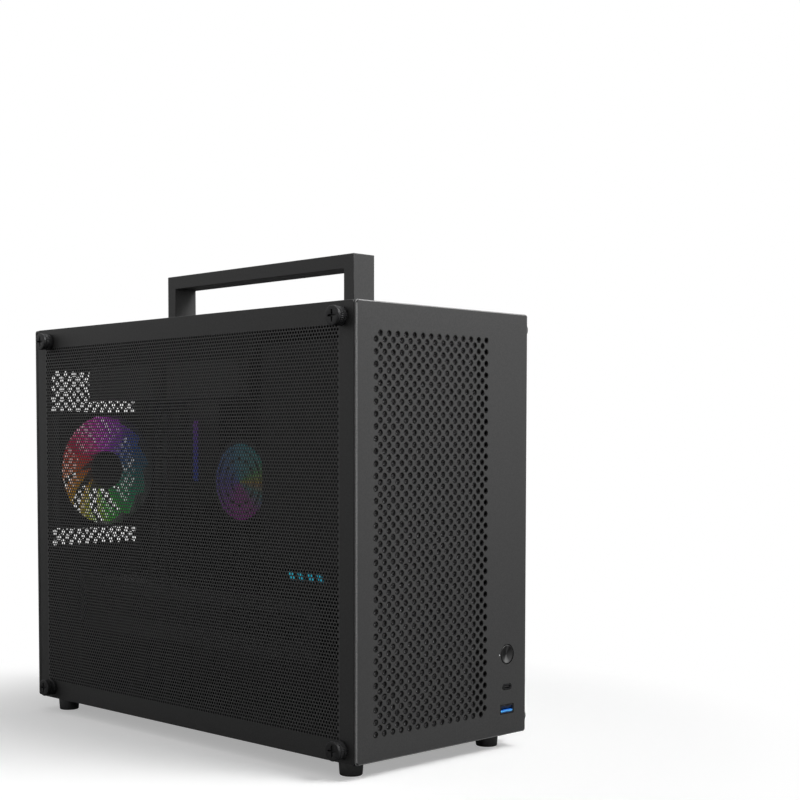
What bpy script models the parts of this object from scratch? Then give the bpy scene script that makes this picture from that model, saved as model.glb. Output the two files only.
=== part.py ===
# A compact tower computer case with a carrying handle: perforated front, fine-mesh side panel,
# and the hardware that shows through the mesh. Metres, +Z up, front towards -Y, mesh side towards -X.
# The origin is on the floor, under the middle of the case.
import math

import bmesh
import bpy
from mathutils import Matrix, Vector

# Driving dimensions of the whole case
WIDTH = 0.165
DEPTH = 0.365
HEIGHT = 0.290
FOOT_HEIGHT = 0.011
CLEARANCE = 0.0003
RUNNING_GAP = 0.001

# Sheet metal
CHASSIS_SHEET = 0.001
SIDE_SHEET = 0.0008
FRONT_SHEET = 0.0015
SHIELD_SHEET = 0.0008
FRONT_SEAM = 0.0007
REAR_RIM = 0.003
REAR_LIP = 0.002
FLANGE_HEIGHT = 0.015
CORNER_RADIUS = 0.0022
FRONT_EDGE_ROUNDING = 0.0008

# Perforated front, a staggered field of holes
FRONT_HOLE_RADIUS = 0.0058
FRONT_HOLE_PITCH = 0.02157
FRONT_ROW_PITCH = 0.01067
FRONT_FIELD_SIDE_MARGIN = 0.0151
FRONT_FIELD_BOTTOM_MARGIN = 0.0155
FRONT_FIELD_TOP_MARGIN = 0.0173
FIELD_TO_CONTROLS = 0.0212
HOLE_SIDES = 6

# Mesh side panel
MESH_HOLE_RADIUS = 0.0080
MESH_HOLE_PITCH = 0.0278
MESH_ROW_PITCH = 0.0246
MESH_MARGIN_FRONT = 0.0130
MESH_MARGIN_REAR = 0.0112
MESH_MARGIN_BELOW = 0.0137
MESH_MARGIN_ABOVE = 0.0138

# Front bracket and its filter
FILTER_THICKNESS = 0.0015
FILTER_SIDE_MARGIN = 0.0125
FILTER_END_MARGIN = 0.0115
FILTER_TO_CONTROLS = 0.0330
BRACKET_SCREW_MARGIN = 0.0030
INTAKE_COLUMNS = 2
INTAKE_SLOT_HEIGHT = 0.018
INTAKE_SLOT_WEB = 0.008
WINDOW_MARGIN = 0.0021

# Rear wall
VENT_SIDE_MARGIN = 0.012
VENT_LOW = 0.119
VENT_TOP_MARGIN = 0.028
VENT_TO_PORTS = 0.01485
VENT_HOLE_RADIUS = 0.0062
VENT_PITCH = 0.0198
VENT_ROW_PITCH = 0.0163
SLOT_PITCH = 0.02032
SLOT_COUNT = 4
SLOT_BASE = 0.01622
SLOT_TOP_DROP = 0.003
SLOT_OPENING_HEIGHT = 0.0135
SLOT_OPENING_WIDTH = 0.105
SLOT_SIDE_INSET = 0.018
SLOT_COVER_LAP = 0.004

# Rear ports: the opening, its shield, the socket cans and the cover beside them.
# The cans' levels are shares of the opening's height
PORT_OPENING_WIDTH = 0.04445
PORT_TOP_GAP = 0.00275
PORT_SHIELD_LAP = 0.0015
PORT_CAN_LENGTH = 0.027
PORT_CAN_REACH = 0.034
PORT_BASE_THICKNESS = 0.003
PORT_BASE_MARGIN = 0.002
PORT_CAN_LEVELS = ((0.085, 0.211), (0.255, 0.381), (0.425, 0.557), (0.583, 0.683), (0.718, 0.803))
PORT_COVER_GAP = 0.005
PORT_COVER_LENGTH = 0.040
PORT_COVER_REACH = 0.028
PORT_COVER_LOW_GAP = 0.0495
PORT_COVER_TOP_GAP = 0.012
PORT_COVER_CORNER = 0.009

# Base and top vents
BASE_VENT_LENGTH = 0.034
BASE_VENT_WIDTH = 0.008
BASE_VENT_PITCH = 0.020
BASE_VENT_ROWS = 9
TOP_VENT_WIDTH = 0.008
TOP_VENT_PITCH = 0.014
TOP_VENT_MARGIN = 0.0088
TOP_VENT_WEB = 0.0103

# Carrying handle
HANDLE_LENGTH = 0.2104
HANDLE_RISE = 0.0414
HANDLE_BAR_WIDTH = 0.020
HANDLE_BAR_THICKNESS = 0.010
HANDLE_EDGE = 0.0004
HANDLE_SCREW_RADIUS = 0.002
HANDLE_SCREW_DEPTH = 0.012
HANDLE_SCREW_HEAD_RADIUS = 0.0036
HANDLE_SCREW_HEAD_HEIGHT = 0.0014

# Feet
FOOT_TOP_RADIUS = 0.0082
FOOT_BOTTOM_RADIUS = 0.0075
FOOT_EDGE = 0.0006
FOOT_STEM_RADIUS = 0.0025
FOOT_STEM_LENGTH = 0.0030
FOOT_SIDE_INSET = 0.0163
FOOT_FRONT_INSET = 0.0216
FOOT_REAR_INSET = 0.0182

# Thumb screws
SCREW_HEAD_RADIUS = 0.00635
SCREW_HEAD_EDGE = 0.0007
SCREW_BARREL_RADIUS = 0.00615
SCREW_GROOVE_RADIUS = 0.0054
SCREW_STAND = 0.0088
SCREW_SHANK_RADIUS = 0.00175
SCREW_SHANK_LENGTH = 0.0050
SCREW_FRONT_INSET = 0.0130
SCREW_REAR_INSET = 0.0204
SCREW_TOP_INSET = 0.0098
SCREW_BOTTOM_INSET = 0.0088

# Power button, status light and front sockets
CONTROL_INSET = 0.020
BUTTON_HEIGHT = 0.0560
BUTTON_RADIUS = 0.0064
BUTTON_LENGTH = 0.0080
BUTTON_TRAVEL = 0.0015
BUTTON_FLANGE = 0.0005
BUTTON_FLANGE_THICKNESS = 0.0010
BUTTON_DISH = 0.0007
SWITCH_SIZE = 0.006
SWITCH_PLUNGER_LENGTH = 0.0012
STEM_RADIUS = 0.0020
LIGHT_PIPE_RADIUS = 0.0006
USB_C_HEIGHT = 0.0334
USB_C_SIZE = (0.00894, 0.00326)
USB_C_TONGUE = (0.0066, 0.0007)
USB_A_HEIGHT = 0.0180
USB_A_SIZE = (0.0134, 0.0057)
USB_A_TONGUE = (0.0116, 0.0018)
SOCKET_WALL = 0.0004
SOCKET_DEPTH = 0.0130
SOCKET_BACK = 0.0012
HOLDER_THICKNESS = 0.0015
HOLDER_MARGIN = 0.0041
HOLDER_POST_RADIUS = 0.0018
BOARD_THICKNESS = 0.0016

# Fans
FAN_THICKNESS = 0.025
FAN_RIM = 0.002
FAN_CORNER = 0.005
FAN_HUB_RADIUS = 0.0150
FAN_STRUT_WIDTH = 0.0040
FAN_STATOR_THICKNESS = 0.0040
BLADE_COUNT = 7
BLADE_THICKNESS = 0.0016
REAR_FAN_GAP = 0.003
REAR_FAN_HEIGHT = 0.1800

# Power supply and its shelf
PSU_DEPTH = 0.086
PSU_SIDE = 0.0075
PSU_FRONT = 0.0140
PSU_TO_CARD = 0.0248
PSU_ROOF_GAP = 0.021
PSU_GRILLE_MARGIN = 0.012
PSU_GRILLE_WEB = 0.006
PSU_GRILLE_DEPTH = 0.003
SHELF_SIDE = 0.0200
SHELF_LIP = 0.0137
CABLE_WAY_SIZE = 0.035
CABLE_WAY_SIDE = 0.020
CABLE_WAY_FRONT = 0.040
DASH_COUNT = 4
DASH_WIDTH = 0.0060
DASH_HEIGHT = 0.0057
DASH_DROP = 0.0020
DASH_PITCH = 0.0094
DASH_START = 0.0502
DASH_SLANT = 0.0030
LIGHT_GUIDE_THICKNESS = 0.003
LIGHT_GUIDE_MARGIN = 0.004

# Motherboard and its tray
TRAY_GAP = 0.0007
TRAY_FRONT_MARGIN = 0.011
STANDOFF_HEIGHT = 0.0060
STANDOFF_RADIUS = 0.0030
CABLE_SLOT_LENGTH = 0.030
CABLE_SLOT_WIDTH = 0.008
CABLE_SLOT_COUNT = 3
BOARD_LOW = 0.018
BOARD_ROOF_GAP = 0.027
BOARD_REAR_GAP = 0.006
BOARD_TO_SUPPLY = 0.015
BOARD_HOLE_INSET = 0.010
SOCKET_HEIGHT = 0.0030
CARD_SOCKET_LENGTH = 0.090
CARD_SOCKET_REAR = 0.050
CARD_SOCKET_WIDTH = 0.0074

# Memory and the pump beside it. The shares divide the room that is left over round them
MODULE_COUNT = 2
MODULE_HEIGHT = 0.029
MODULE_THICKNESS = 0.007
MODULE_PITCH = 0.010
MODULE_TO_CARD = 0.0248
MODULE_TOP_GAP = 0.011
MODULE_SOCKET_WIDTH = 0.006
MODULE_SOCKET_MARGIN = 0.004
MODULE_TO_FITTING = 0.0012
MODULE_SHARE = 0.6726
PUMP_RADIUS = 0.0350
PUMP_HEIGHT = 0.0520
PUMP_RIM = 0.0055
PUMP_LIGHT_THICKNESS = 0.0020
PUMP_SOCKET = 0.050
PUMP_SHARE = 0.6056

# Top radiator
RADIATOR_THICKNESS = 0.027
RADIATOR_SIDE = 0.014
RADIATOR_TO_MODULES = 0.015
RADIATOR_TO_SUPPLY = 0.0135
RADIATOR_REAR_GAP = 0.0375
RADIATOR_TANK = 0.0115
RADIATOR_FAN_SPACING = 0.007
RADIATOR_BOSS = 0.0022
RADIATOR_BOSS_RADIUS = 0.004
RADIATOR_BOSS_INSET = 0.006
RADIATOR_RAIL = 0.006
FITTING_RADIUS = 0.0048
FITTING_LENGTH = 0.008
FITTING_SPACING = 0.022

# Graphics card
CARD_DEPTH = 0.108
CARD_THICKNESS = 0.041
CARD_TO_BOARD = 0.0093
CARD_FRONT_GAP = 0.077
CARD_REAR_GAP = 0.004
CARD_TOP_RISE = 0.00586
CARD_CORNER = 0.004
CARD_FAN_EDGE = 0.010
CARD_FAN_WEB = 0.013
CARD_FAN_DEPTH = 0.011
CARD_PORT_SIZE = (0.018, 0.006)
CARD_PORT_PITCH = 0.030
CARD_EDGE_LENGTH = 0.065
CARD_EDGE_REAR = 0.060

# Power inlet
INLET_SIDE = 0.033
INLET_DROP = 0.015
INLET_LENGTH = 0.022
INLET_BODY = (0.0270, 0.0196)
INLET_FLANGE = (0.0410, 0.0236)
INLET_FLANGE_THICKNESS = 0.0012
INLET_WALL = 0.0015
INLET_DEPTH = 0.0160
INLET_PIN_SPACING = 0.007

# Planes of the case, from the driving dimensions
mesh_side = -WIDTH / 2
plain_side = WIDTH / 2
front = -DEPTH / 2
rear = DEPTH / 2
bottom = FOOT_HEIGHT
top = FOOT_HEIGHT + HEIGHT
panel_front = front + FRONT_SHEET + FRONT_SEAM
rear_plate = rear - REAR_RIM
panel_rear = rear_plate - CLEARANCE
floor_top = bottom + CHASSIS_SHEET
roof_low = top - CHASSIS_SHEET
flange_out = SIDE_SHEET + CLEARANCE
flange_in = flange_out + CHASSIS_SHEET

# Front controls, which the front panel, bracket and holder all follow
flange_radius = BUTTON_RADIUS + BUTTON_FLANGE
control_x = plain_side - CONTROL_INSET
button_z = bottom + BUTTON_HEIGHT
usb_c_z = bottom + USB_C_HEIGHT
usb_a_z = bottom + USB_A_HEIGHT
light_x = control_x - flange_radius - CLEARANCE - LIGHT_PIPE_RADIUS
filter_face = front + FRONT_SHEET + CLEARANCE
filter_right = control_x - FILTER_TO_CONTROLS
bracket_face = filter_face + FILTER_THICKNESS + CLEARANCE
bracket_back = bracket_face + CHASSIS_SHEET
bracket_rear = front + SCREW_FRONT_INSET + SCREW_SHANK_RADIUS + BRACKET_SCREW_MARGIN
holder_face = bracket_back + CLEARANCE
holder_back = holder_face + HOLDER_THICKNESS
socket_rear = front + SOCKET_DEPTH + SOCKET_BACK
front_board = socket_rear + CLEARANCE

# Expansion slots and the graphics card, counted up from the floor
ports_low = bottom + SLOT_BASE + SLOT_COUNT * SLOT_PITCH + SLOT_TOP_DROP


def slot_level(index):
    # Middle of an expansion slot, counted from the top one
    return ports_low - SLOT_TOP_DROP - (index + 0.5) * SLOT_PITCH


card_top = slot_level(0) + CARD_TOP_RISE
card_low = card_top - CARD_THICKNESS

# Power supply, over the card
supply_low = (mesh_side + PSU_SIDE, front + PSU_FRONT, card_top + PSU_TO_CARD)
supply_high = (plain_side - PSU_SIDE, supply_low[1] + PSU_DEPTH, roof_low - PSU_ROOF_GAP)

# Motherboard, between the supply and the rear wall
tray_face = plain_side - flange_in - TRAY_GAP - CHASSIS_SHEET
board_back = tray_face - STANDOFF_HEIGHT - CLEARANCE
board_face = board_back - BOARD_THICKNESS
board_front = supply_high[1] + BOARD_TO_SUPPLY
board_rear = rear - BOARD_REAR_GAP
board_low = bottom + BOARD_LOW
board_high = roof_low - BOARD_ROOF_GAP
ports_high = board_high - PORT_TOP_GAP
ports_left = board_face - PORT_OPENING_WIDTH
can_front = rear_plate - PORT_CAN_LENGTH
cover_rear = can_front - PORT_COVER_GAP
cover_front = cover_rear - PORT_COVER_LENGTH
socket_face = board_face - SOCKET_HEIGHT - CLEARANCE
card_right = board_face - CARD_TO_BOARD

# Radiator with its two fans: the largest size that fits both across and along
radiator_left = mesh_side + RADIATOR_SIDE
radiator_front = supply_high[1] + RADIATOR_TO_SUPPLY
fan_room_across = socket_face - MODULE_HEIGHT - RADIATOR_TO_MODULES - radiator_left
fan_room_along = (rear - RADIATOR_REAR_GAP - radiator_front - 2 * RADIATOR_TANK - RADIATOR_FAN_SPACING) / 2
fan_size = min(fan_room_across, fan_room_along)
fan_bore_radius = fan_size / 2 - FAN_RIM
radiator_right = radiator_left + fan_size
radiator_length = 2 * (fan_size + RADIATOR_TANK) + RADIATOR_FAN_SPACING
radiator_top = roof_low - RADIATOR_BOSS - CLEARANCE
radiator_low = radiator_top - RADIATOR_THICKNESS
radiator_fan_low = radiator_low - CLEARANCE - FAN_THICKNESS

# Memory and the pump share the board's length and height with what is round them
module_rear_span = (MODULE_COUNT - 1) * MODULE_PITCH + MODULE_THICKNESS
stack_length = module_rear_span + MODULE_TO_FITTING + FITTING_LENGTH + 2 * PUMP_RADIUS
module_front = board_front + MODULE_SHARE * (cover_front - board_front - stack_length)
module_low = card_top + MODULE_TO_CARD
module_high = board_high - MODULE_TOP_GAP
pump_y = module_front + stack_length - PUMP_RADIUS
pump_z = card_top + PUMP_RADIUS + PUMP_SHARE * (radiator_fan_low - card_top - 2 * PUMP_RADIUS)
pump_light_radius = PUMP_RADIUS - PUMP_RIM
inlet_x = plain_side - INLET_SIDE
inlet_z = top - INLET_DROP

for old in list(bpy.data.objects):
    bpy.data.objects.remove(old, do_unlink=True)

case = bpy.data.collections.new("computer_case")
tools = bpy.data.collections.new("cutters")
bpy.context.scene.collection.children.link(case)
bpy.context.scene.collection.children.link(tools)


def finish(name, colour, roughness, metallic=0.0, glow=None):
    # A Principled material, with its own light where glow gives a strength
    made = bpy.data.materials.new(name)
    made.use_nodes = True
    shader = made.node_tree.nodes["Principled BSDF"]
    shader.inputs["Base Color"].default_value = (*colour, 1.0)
    shader.inputs["Roughness"].default_value = roughness
    shader.inputs["Metallic"].default_value = metallic
    if glow:
        shader.inputs["Emission Color"].default_value = (*colour, 1.0)
        shader.inputs["Emission Strength"].default_value = glow
    return made


black_coat = finish("black_powder_coat", (0.035, 0.036, 0.038), 0.55)
dark_steel = finish("dark_steel", (0.06, 0.06, 0.065), 0.5, 0.3)
black_plastic = finish("black_plastic", (0.02, 0.02, 0.022), 0.45)
rubber = finish("black_rubber", (0.018, 0.018, 0.018), 0.85)
grey_mesh = finish("grey_filter_mesh", (0.16, 0.16, 0.17), 0.8)
button_metal = finish("brushed_metal", (0.30, 0.30, 0.31), 0.3, 1.0)
bare_steel = finish("bare_steel", (0.55, 0.56, 0.58), 0.35, 1.0)
blue_plastic = finish("blue_plastic", (0.01, 0.22, 0.75), 0.4)
white_light = finish("white_light", (0.95, 0.97, 1.0), 0.3, 0.0, 2.0)
frosted_blade = finish("frosted_blade", (0.75, 0.75, 0.78), 0.4)
board_black = finish("black_circuit_board", (0.015, 0.016, 0.018), 0.5)
pump_glow = finish("pump_light", (0.30, 0.55, 0.95), 0.3, 0.0, 1.5)


def part(name, shape, material, at=(0.0, 0.0, 0.0), turn=None):
    # One named object of the case, from a bmesh
    mesh = bpy.data.meshes.new(name)
    bmesh.ops.recalc_face_normals(shape, faces=shape.faces)
    shape.to_mesh(mesh)
    shape.free()
    mesh.materials.append(material)
    made = bpy.data.objects.new(name, mesh)
    made.location = at
    if turn:
        made.rotation_euler = turn
    case.objects.link(made)
    return made


def tool(name, shape, at=(0.0, 0.0, 0.0), turn=None):
    # A cutter or a form that is joined on: it isn't a piece of the case
    made = part(name, shape, black_coat, at, turn)
    case.objects.unlink(made)
    tools.objects.link(made)
    made.hide_render = True
    made.display_type = "WIRE"
    return made


def combine(target, others, operation):
    for other in others:
        step = target.modifiers.new(operation.lower() + "_" + other.name, "BOOLEAN")
        step.operation = operation
        step.object = other


def cut(target, *others):
    combine(target, others, "DIFFERENCE")


def join(target, *others):
    combine(target, others, "UNION")


def block(low, high, corner_axis=None, corner_radius=0.0, corner_steps=2):
    # A box between two corners. Edges along corner_axis can be rounded
    shape = bmesh.new()
    low, high = Vector(low), Vector(high)
    bmesh.ops.create_cube(shape, size=1.0)
    bmesh.ops.scale(shape, vec=high - low, verts=shape.verts)
    bmesh.ops.translate(shape, vec=(low + high) / 2, verts=shape.verts)
    if corner_radius:
        along = [
            edge
            for edge in shape.edges
            if abs((edge.verts[0].co - edge.verts[1].co).normalized()[corner_axis]) > 0.9
        ]
        bmesh.ops.bevel(
            shape, geom=along, offset=corner_radius, segments=corner_steps, profile=0.5, affect="EDGES"
        )
    return shape


def round_bar(axis, centre, radius, length, sides=16, end_radius=None):
    # A straight round bar or taper, centred, along axis 0, 1 or 2
    shape = bmesh.new()
    other_end = radius if end_radius is None else end_radius
    bmesh.ops.create_cone(
        shape, cap_ends=True, segments=sides, radius1=radius, radius2=other_end, depth=length
    )
    turn = {0: Matrix.Rotation(math.pi / 2, 3, "Y"), 1: Matrix.Rotation(-math.pi / 2, 3, "X")}
    if axis in turn:
        bmesh.ops.rotate(shape, matrix=turn[axis], verts=shape.verts)
    bmesh.ops.translate(shape, vec=centre, verts=shape.verts)
    return shape


def corner_forms(axis, low, high, radius, steps=3):
    # Four forms that round the corners of a sheet which lies across axis 0 or 1
    other = 1 - axis
    forms = []
    for a_end, a_side in ((low[other], 1), (high[other], -1)):
        for z_end, z_side in ((low[2], 1), (high[2], -1)):
            outline = [(-radius, -radius), (radius, -radius)]
            for index in range(steps + 1):
                angle = math.pi / 2 * index / steps
                outline.append((radius * (1 - math.sin(angle)), radius * (1 - math.cos(angle))))
            outline.append((-radius, radius))
            shape = bmesh.new()
            rim = []
            for a, z in outline:
                point = [0.0, 0.0, z_end + z_side * z]
                point[axis] = low[axis] - radius
                point[other] = a_end + a_side * a
                rim.append(shape.verts.new(point))
            face = shape.faces.new(rim)
            drawn = bmesh.ops.extrude_face_region(shape, geom=[face])
            moved = [item for item in drawn["geom"] if isinstance(item, bmesh.types.BMVert)]
            reach = [0.0, 0.0, 0.0]
            reach[axis] = high[axis] - low[axis] + 2 * radius
            bmesh.ops.translate(shape, vec=reach, verts=moved)
            bmesh.ops.recalc_face_normals(shape, faces=shape.faces)
            forms.append(shape)
    return several(forms)


def several(shapes):
    # Many separate forms in one bmesh, for one cutter
    merged = bmesh.new()
    for shape in shapes:
        mesh = bpy.data.meshes.new("form")
        shape.to_mesh(mesh)
        shape.free()
        merged.from_mesh(mesh)
        bpy.data.meshes.remove(mesh)
    return merged


def turned(name, profile, material, at, turn, steps):
    # A turned piece about its local Z. The profile runs from the top centre, down its outside
    shape = bmesh.new()
    points = [shape.verts.new((radius, 0.0, height)) for radius, height in profile]
    for first, second in zip(points, points[1:]):
        shape.edges.new((first, second))
    made = part(name, shape, material, at, turn)
    screw = made.modifiers.new("turn", "SCREW")
    screw.steps = steps
    screw.render_steps = steps
    screw.use_merge_vertices = True
    screw.merge_threshold = 0.00001
    screw.use_smooth_shade = True
    return made


def stagger(origin_a, origin_b, width, height, pitch, row_pitch, radius):
    # Centres of a staggered field: each second row starts half a pitch further on
    rows = int((height - 2 * radius) / row_pitch + 1.001)
    centres = []
    for row in range(rows):
        shift = pitch / 2 if row % 2 else 0.0
        count = int((width - 2 * radius - shift) / pitch + 1.001)
        for column in range(count):
            centres.append((origin_a + radius + shift + column * pitch, origin_b + radius + row * row_pitch))
    return centres


def punches(axis, centres, radius, middle, length):
    # One round punch for each centre of a field, across the sheet
    bars = []
    for a, b in centres:
        centre = (middle, a, b) if axis == 0 else (a, middle, b)
        bars.append(round_bar(axis, centre, radius, length, HOLE_SIDES))
    return several(bars)


def folded(name, outline, y_low, y_high, material):
    # A sheet folded along Y: an open outline in X and Z, drawn along Y, then given its thickness
    shape = bmesh.new()
    points = [shape.verts.new((x, y_low, z)) for x, z in outline]
    edges = [shape.edges.new(pair) for pair in zip(points, points[1:])]
    drawn = bmesh.ops.extrude_edge_only(shape, edges=edges)
    new_points = [item for item in drawn["geom"] if isinstance(item, bmesh.types.BMVert)]
    bmesh.ops.translate(shape, vec=(0.0, y_high - y_low, 0.0), verts=new_points)
    made = part(name, shape, material)
    wall = made.modifiers.new("sheet", "SOLIDIFY")
    wall.thickness = CHASSIS_SHEET
    wall.offset = 0.0
    wall.use_even_offset = True
    return made


def shank_holes():
    # Clearance for the eight thumb screws, through panels, flanges and tray
    reach = FLANGE_HEIGHT
    bars = []
    for x in (mesh_side, plain_side):
        for y, z in screw_places():
            bars.append(round_bar(0, (x, y, z), SCREW_SHANK_RADIUS + CLEARANCE, 2 * reach, 8))
    return several(bars)


def screw_places():
    return [
        (y, z)
        for y in (front + SCREW_FRONT_INSET, rear - SCREW_REAR_INSET)
        for z in (bottom + SCREW_BOTTOM_INSET, top - SCREW_TOP_INSET)
    ]


def foot_places():
    return {
        "foot_front_left": (mesh_side + FOOT_SIDE_INSET, front + FOOT_FRONT_INSET),
        "foot_front_right": (plain_side - FOOT_SIDE_INSET, front + FOOT_FRONT_INSET),
        "foot_rear_left": (mesh_side + FOOT_SIDE_INSET, rear - FOOT_REAR_INSET),
        "foot_rear_right": (plain_side - FOOT_SIDE_INSET, rear - FOOT_REAR_INSET),
    }


shanks = tool("thumb_screw_shank_holes", shank_holes())


def usb_c_outline(grow, y_low, y_high):
    half_w = USB_C_SIZE[0] / 2 + grow
    half_h = USB_C_SIZE[1] / 2 + grow
    low = (control_x - half_w, y_low, usb_c_z - half_h)
    high = (control_x + half_w, y_high, usb_c_z + half_h)
    return block(low, high, 1, half_h * 0.95, 2)


def usb_a_outline(grow, y_low, y_high):
    half_w = USB_A_SIZE[0] / 2 + grow
    half_h = USB_A_SIZE[1] / 2 + grow
    low = (control_x - half_w, y_low, usb_a_z - half_h)
    return block(low, (control_x + half_w, y_high, usb_a_z + half_h))


def control_openings(name, y_low, y_high):
    # Holes for the button, the status light and both sockets, through one sheet
    middle = (y_low + y_high) / 2
    length = y_high - y_low
    return tool(
        name,
        several(
            [
                round_bar(1, (control_x, middle, button_z), BUTTON_RADIUS + CLEARANCE, length, 20),
                round_bar(1, (light_x, middle, button_z), LIGHT_PIPE_RADIUS + CLEARANCE, length, 8),
                usb_c_outline(CLEARANCE, y_low, y_high),
                usb_a_outline(CLEARANCE, y_low, y_high),
            ]
        ),
    )


def front_panel():
    low = (mesh_side, front, bottom)
    high = (plain_side, front + FRONT_SHEET, top)
    sheet = block(low, high)
    outer = [edge for edge in sheet.edges if all(abs(point.co.y - front) < CLEARANCE for point in edge.verts)]
    bmesh.ops.bevel(sheet, geom=outer, offset=FRONT_EDGE_ROUNDING, segments=1, profile=0.5, affect="EDGES")
    panel = part("front_panel", sheet, black_coat)
    centres = stagger(
        mesh_side + FRONT_FIELD_SIDE_MARGIN,
        bottom + FRONT_FIELD_BOTTOM_MARGIN,
        control_x - FIELD_TO_CONTROLS - mesh_side - FRONT_FIELD_SIDE_MARGIN,
        HEIGHT - FRONT_FIELD_BOTTOM_MARGIN - FRONT_FIELD_TOP_MARGIN,
        FRONT_HOLE_PITCH,
        FRONT_ROW_PITCH,
        FRONT_HOLE_RADIUS,
    )
    middle = front + FRONT_SHEET / 2
    field = tool("front_field", punches(1, centres, FRONT_HOLE_RADIUS, middle, 3 * FRONT_SHEET))
    corners = tool("front_corners", corner_forms(1, low, high, CORNER_RADIUS))
    openings = control_openings("front_panel_openings", front - FRONT_SHEET, front + 2 * FRONT_SHEET)
    cut(panel, field, openings, corners)
    return panel


def front_filter():
    low = (mesh_side + FILTER_SIDE_MARGIN, filter_face, bottom + FILTER_END_MARGIN)
    high = (filter_right, filter_face + FILTER_THICKNESS, top - FILTER_END_MARGIN)
    return part("front_filter", block(low, high, 1, CORNER_RADIUS), grey_mesh)


def front_bracket():
    # A shallow pan behind the front panel, which carries the filter, the shelf and the sockets
    side = flange_in + CLEARANCE
    low = (mesh_side + side, bracket_face, floor_top + CLEARANCE)
    high = (plain_side - side, bracket_rear, roof_low - CLEARANCE)
    pan = part("front_bracket", block(low, high), dark_steel)
    wall = CHASSIS_SHEET
    hollow = tool(
        "front_bracket_hollow",
        block(
            (low[0] + wall, bracket_back, low[2] + wall),
            (high[0] - wall, high[1] + wall, high[2] - wall),
        ),
    )
    window = tool(
        "front_bracket_window",
        block(
            (
                light_x - LIGHT_PIPE_RADIUS - WINDOW_MARGIN,
                low[1] - wall,
                usb_a_z - USB_A_SIZE[1] / 2 - WINDOW_MARGIN,
            ),
            (
                control_x + flange_radius + WINDOW_MARGIN,
                bracket_back + wall,
                button_z + flange_radius + WINDOW_MARGIN,
            ),
        ),
    )
    slots = []
    field_x = mesh_side + FILTER_SIDE_MARGIN
    step_x = (filter_right - field_x - INTAKE_SLOT_WEB) / INTAKE_COLUMNS
    step_z = INTAKE_SLOT_HEIGHT + INTAKE_SLOT_WEB
    rows = int((HEIGHT - 2 * FLANGE_HEIGHT - INTAKE_SLOT_WEB) / step_z)
    for column in range(INTAKE_COLUMNS):
        for row in range(rows):
            x = field_x + INTAKE_SLOT_WEB + column * step_x
            z = bottom + FLANGE_HEIGHT + INTAKE_SLOT_WEB + row * step_z
            high_corner = (x + step_x - INTAKE_SLOT_WEB, bracket_back + wall, z + INTAKE_SLOT_HEIGHT)
            slots.append(block((x, low[1] - wall, z), high_corner))
    cut(pan, hollow, window, tool("intake_slots", several(slots)), shanks)
    return pan


def side_panel(name, x_outer, x_inner, pierced):
    low = (min(x_outer, x_inner), panel_front, bottom)
    high = (max(x_outer, x_inner), panel_rear, top)
    panel = part(name, block(low, high), black_coat)
    corners = tool(name + "_corners", corner_forms(0, low, high, CORNER_RADIUS))
    if pierced:
        centres = stagger(
            panel_front + MESH_MARGIN_FRONT,
            bottom + MESH_MARGIN_BELOW,
            DEPTH - FRONT_SHEET - REAR_RIM - MESH_MARGIN_FRONT - MESH_MARGIN_REAR,
            HEIGHT - MESH_MARGIN_BELOW - MESH_MARGIN_ABOVE,
            MESH_HOLE_PITCH,
            MESH_ROW_PITCH,
            MESH_HOLE_RADIUS,
        )
        middle = (x_outer + x_inner) / 2
        cut(panel, tool("mesh_field", punches(0, centres, MESH_HOLE_RADIUS, middle, 4 * SIDE_SHEET)))
    cut(panel, shanks, corners)
    return panel


def base_tray():
    inset = flange_out + CHASSIS_SHEET / 2
    low = bottom + CHASSIS_SHEET / 2
    outline = [
        (mesh_side + inset, bottom + FLANGE_HEIGHT),
        (mesh_side + inset, low),
        (plain_side - inset, low),
        (plain_side - inset, bottom + FLANGE_HEIGHT),
    ]
    tray = folded("base_tray", outline, panel_front, panel_rear, dark_steel)
    stems = [
        round_bar(2, (x, y, bottom), FOOT_STEM_RADIUS + CLEARANCE, 4 * CHASSIS_SHEET, 8)
        for x, y in foot_places().values()
    ]
    half_l, half_w = BASE_VENT_LENGTH / 2, BASE_VENT_WIDTH / 2
    slots = []
    for column in (-1, 1):
        for index in range(BASE_VENT_ROWS):
            x = column * (half_l + BASE_VENT_WIDTH)
            y = (index - (BASE_VENT_ROWS - 1) / 2) * BASE_VENT_PITCH
            low_corner = (x - half_l, y - half_w, bottom - CHASSIS_SHEET)
            slots.append(block(low_corner, (x + half_l, y + half_w, bottom + 2 * CHASSIS_SHEET)))
    cut(tray, tool("foot_stem_holes", several(stems)), tool("base_vent", several(slots)), shanks)
    return tray


handle_low = top + CLEARANCE
handle_legs = [
    side * (HANDLE_LENGTH / 2 - HANDLE_BAR_THICKNESS / 2) for side in (-1, 1)
]


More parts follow.
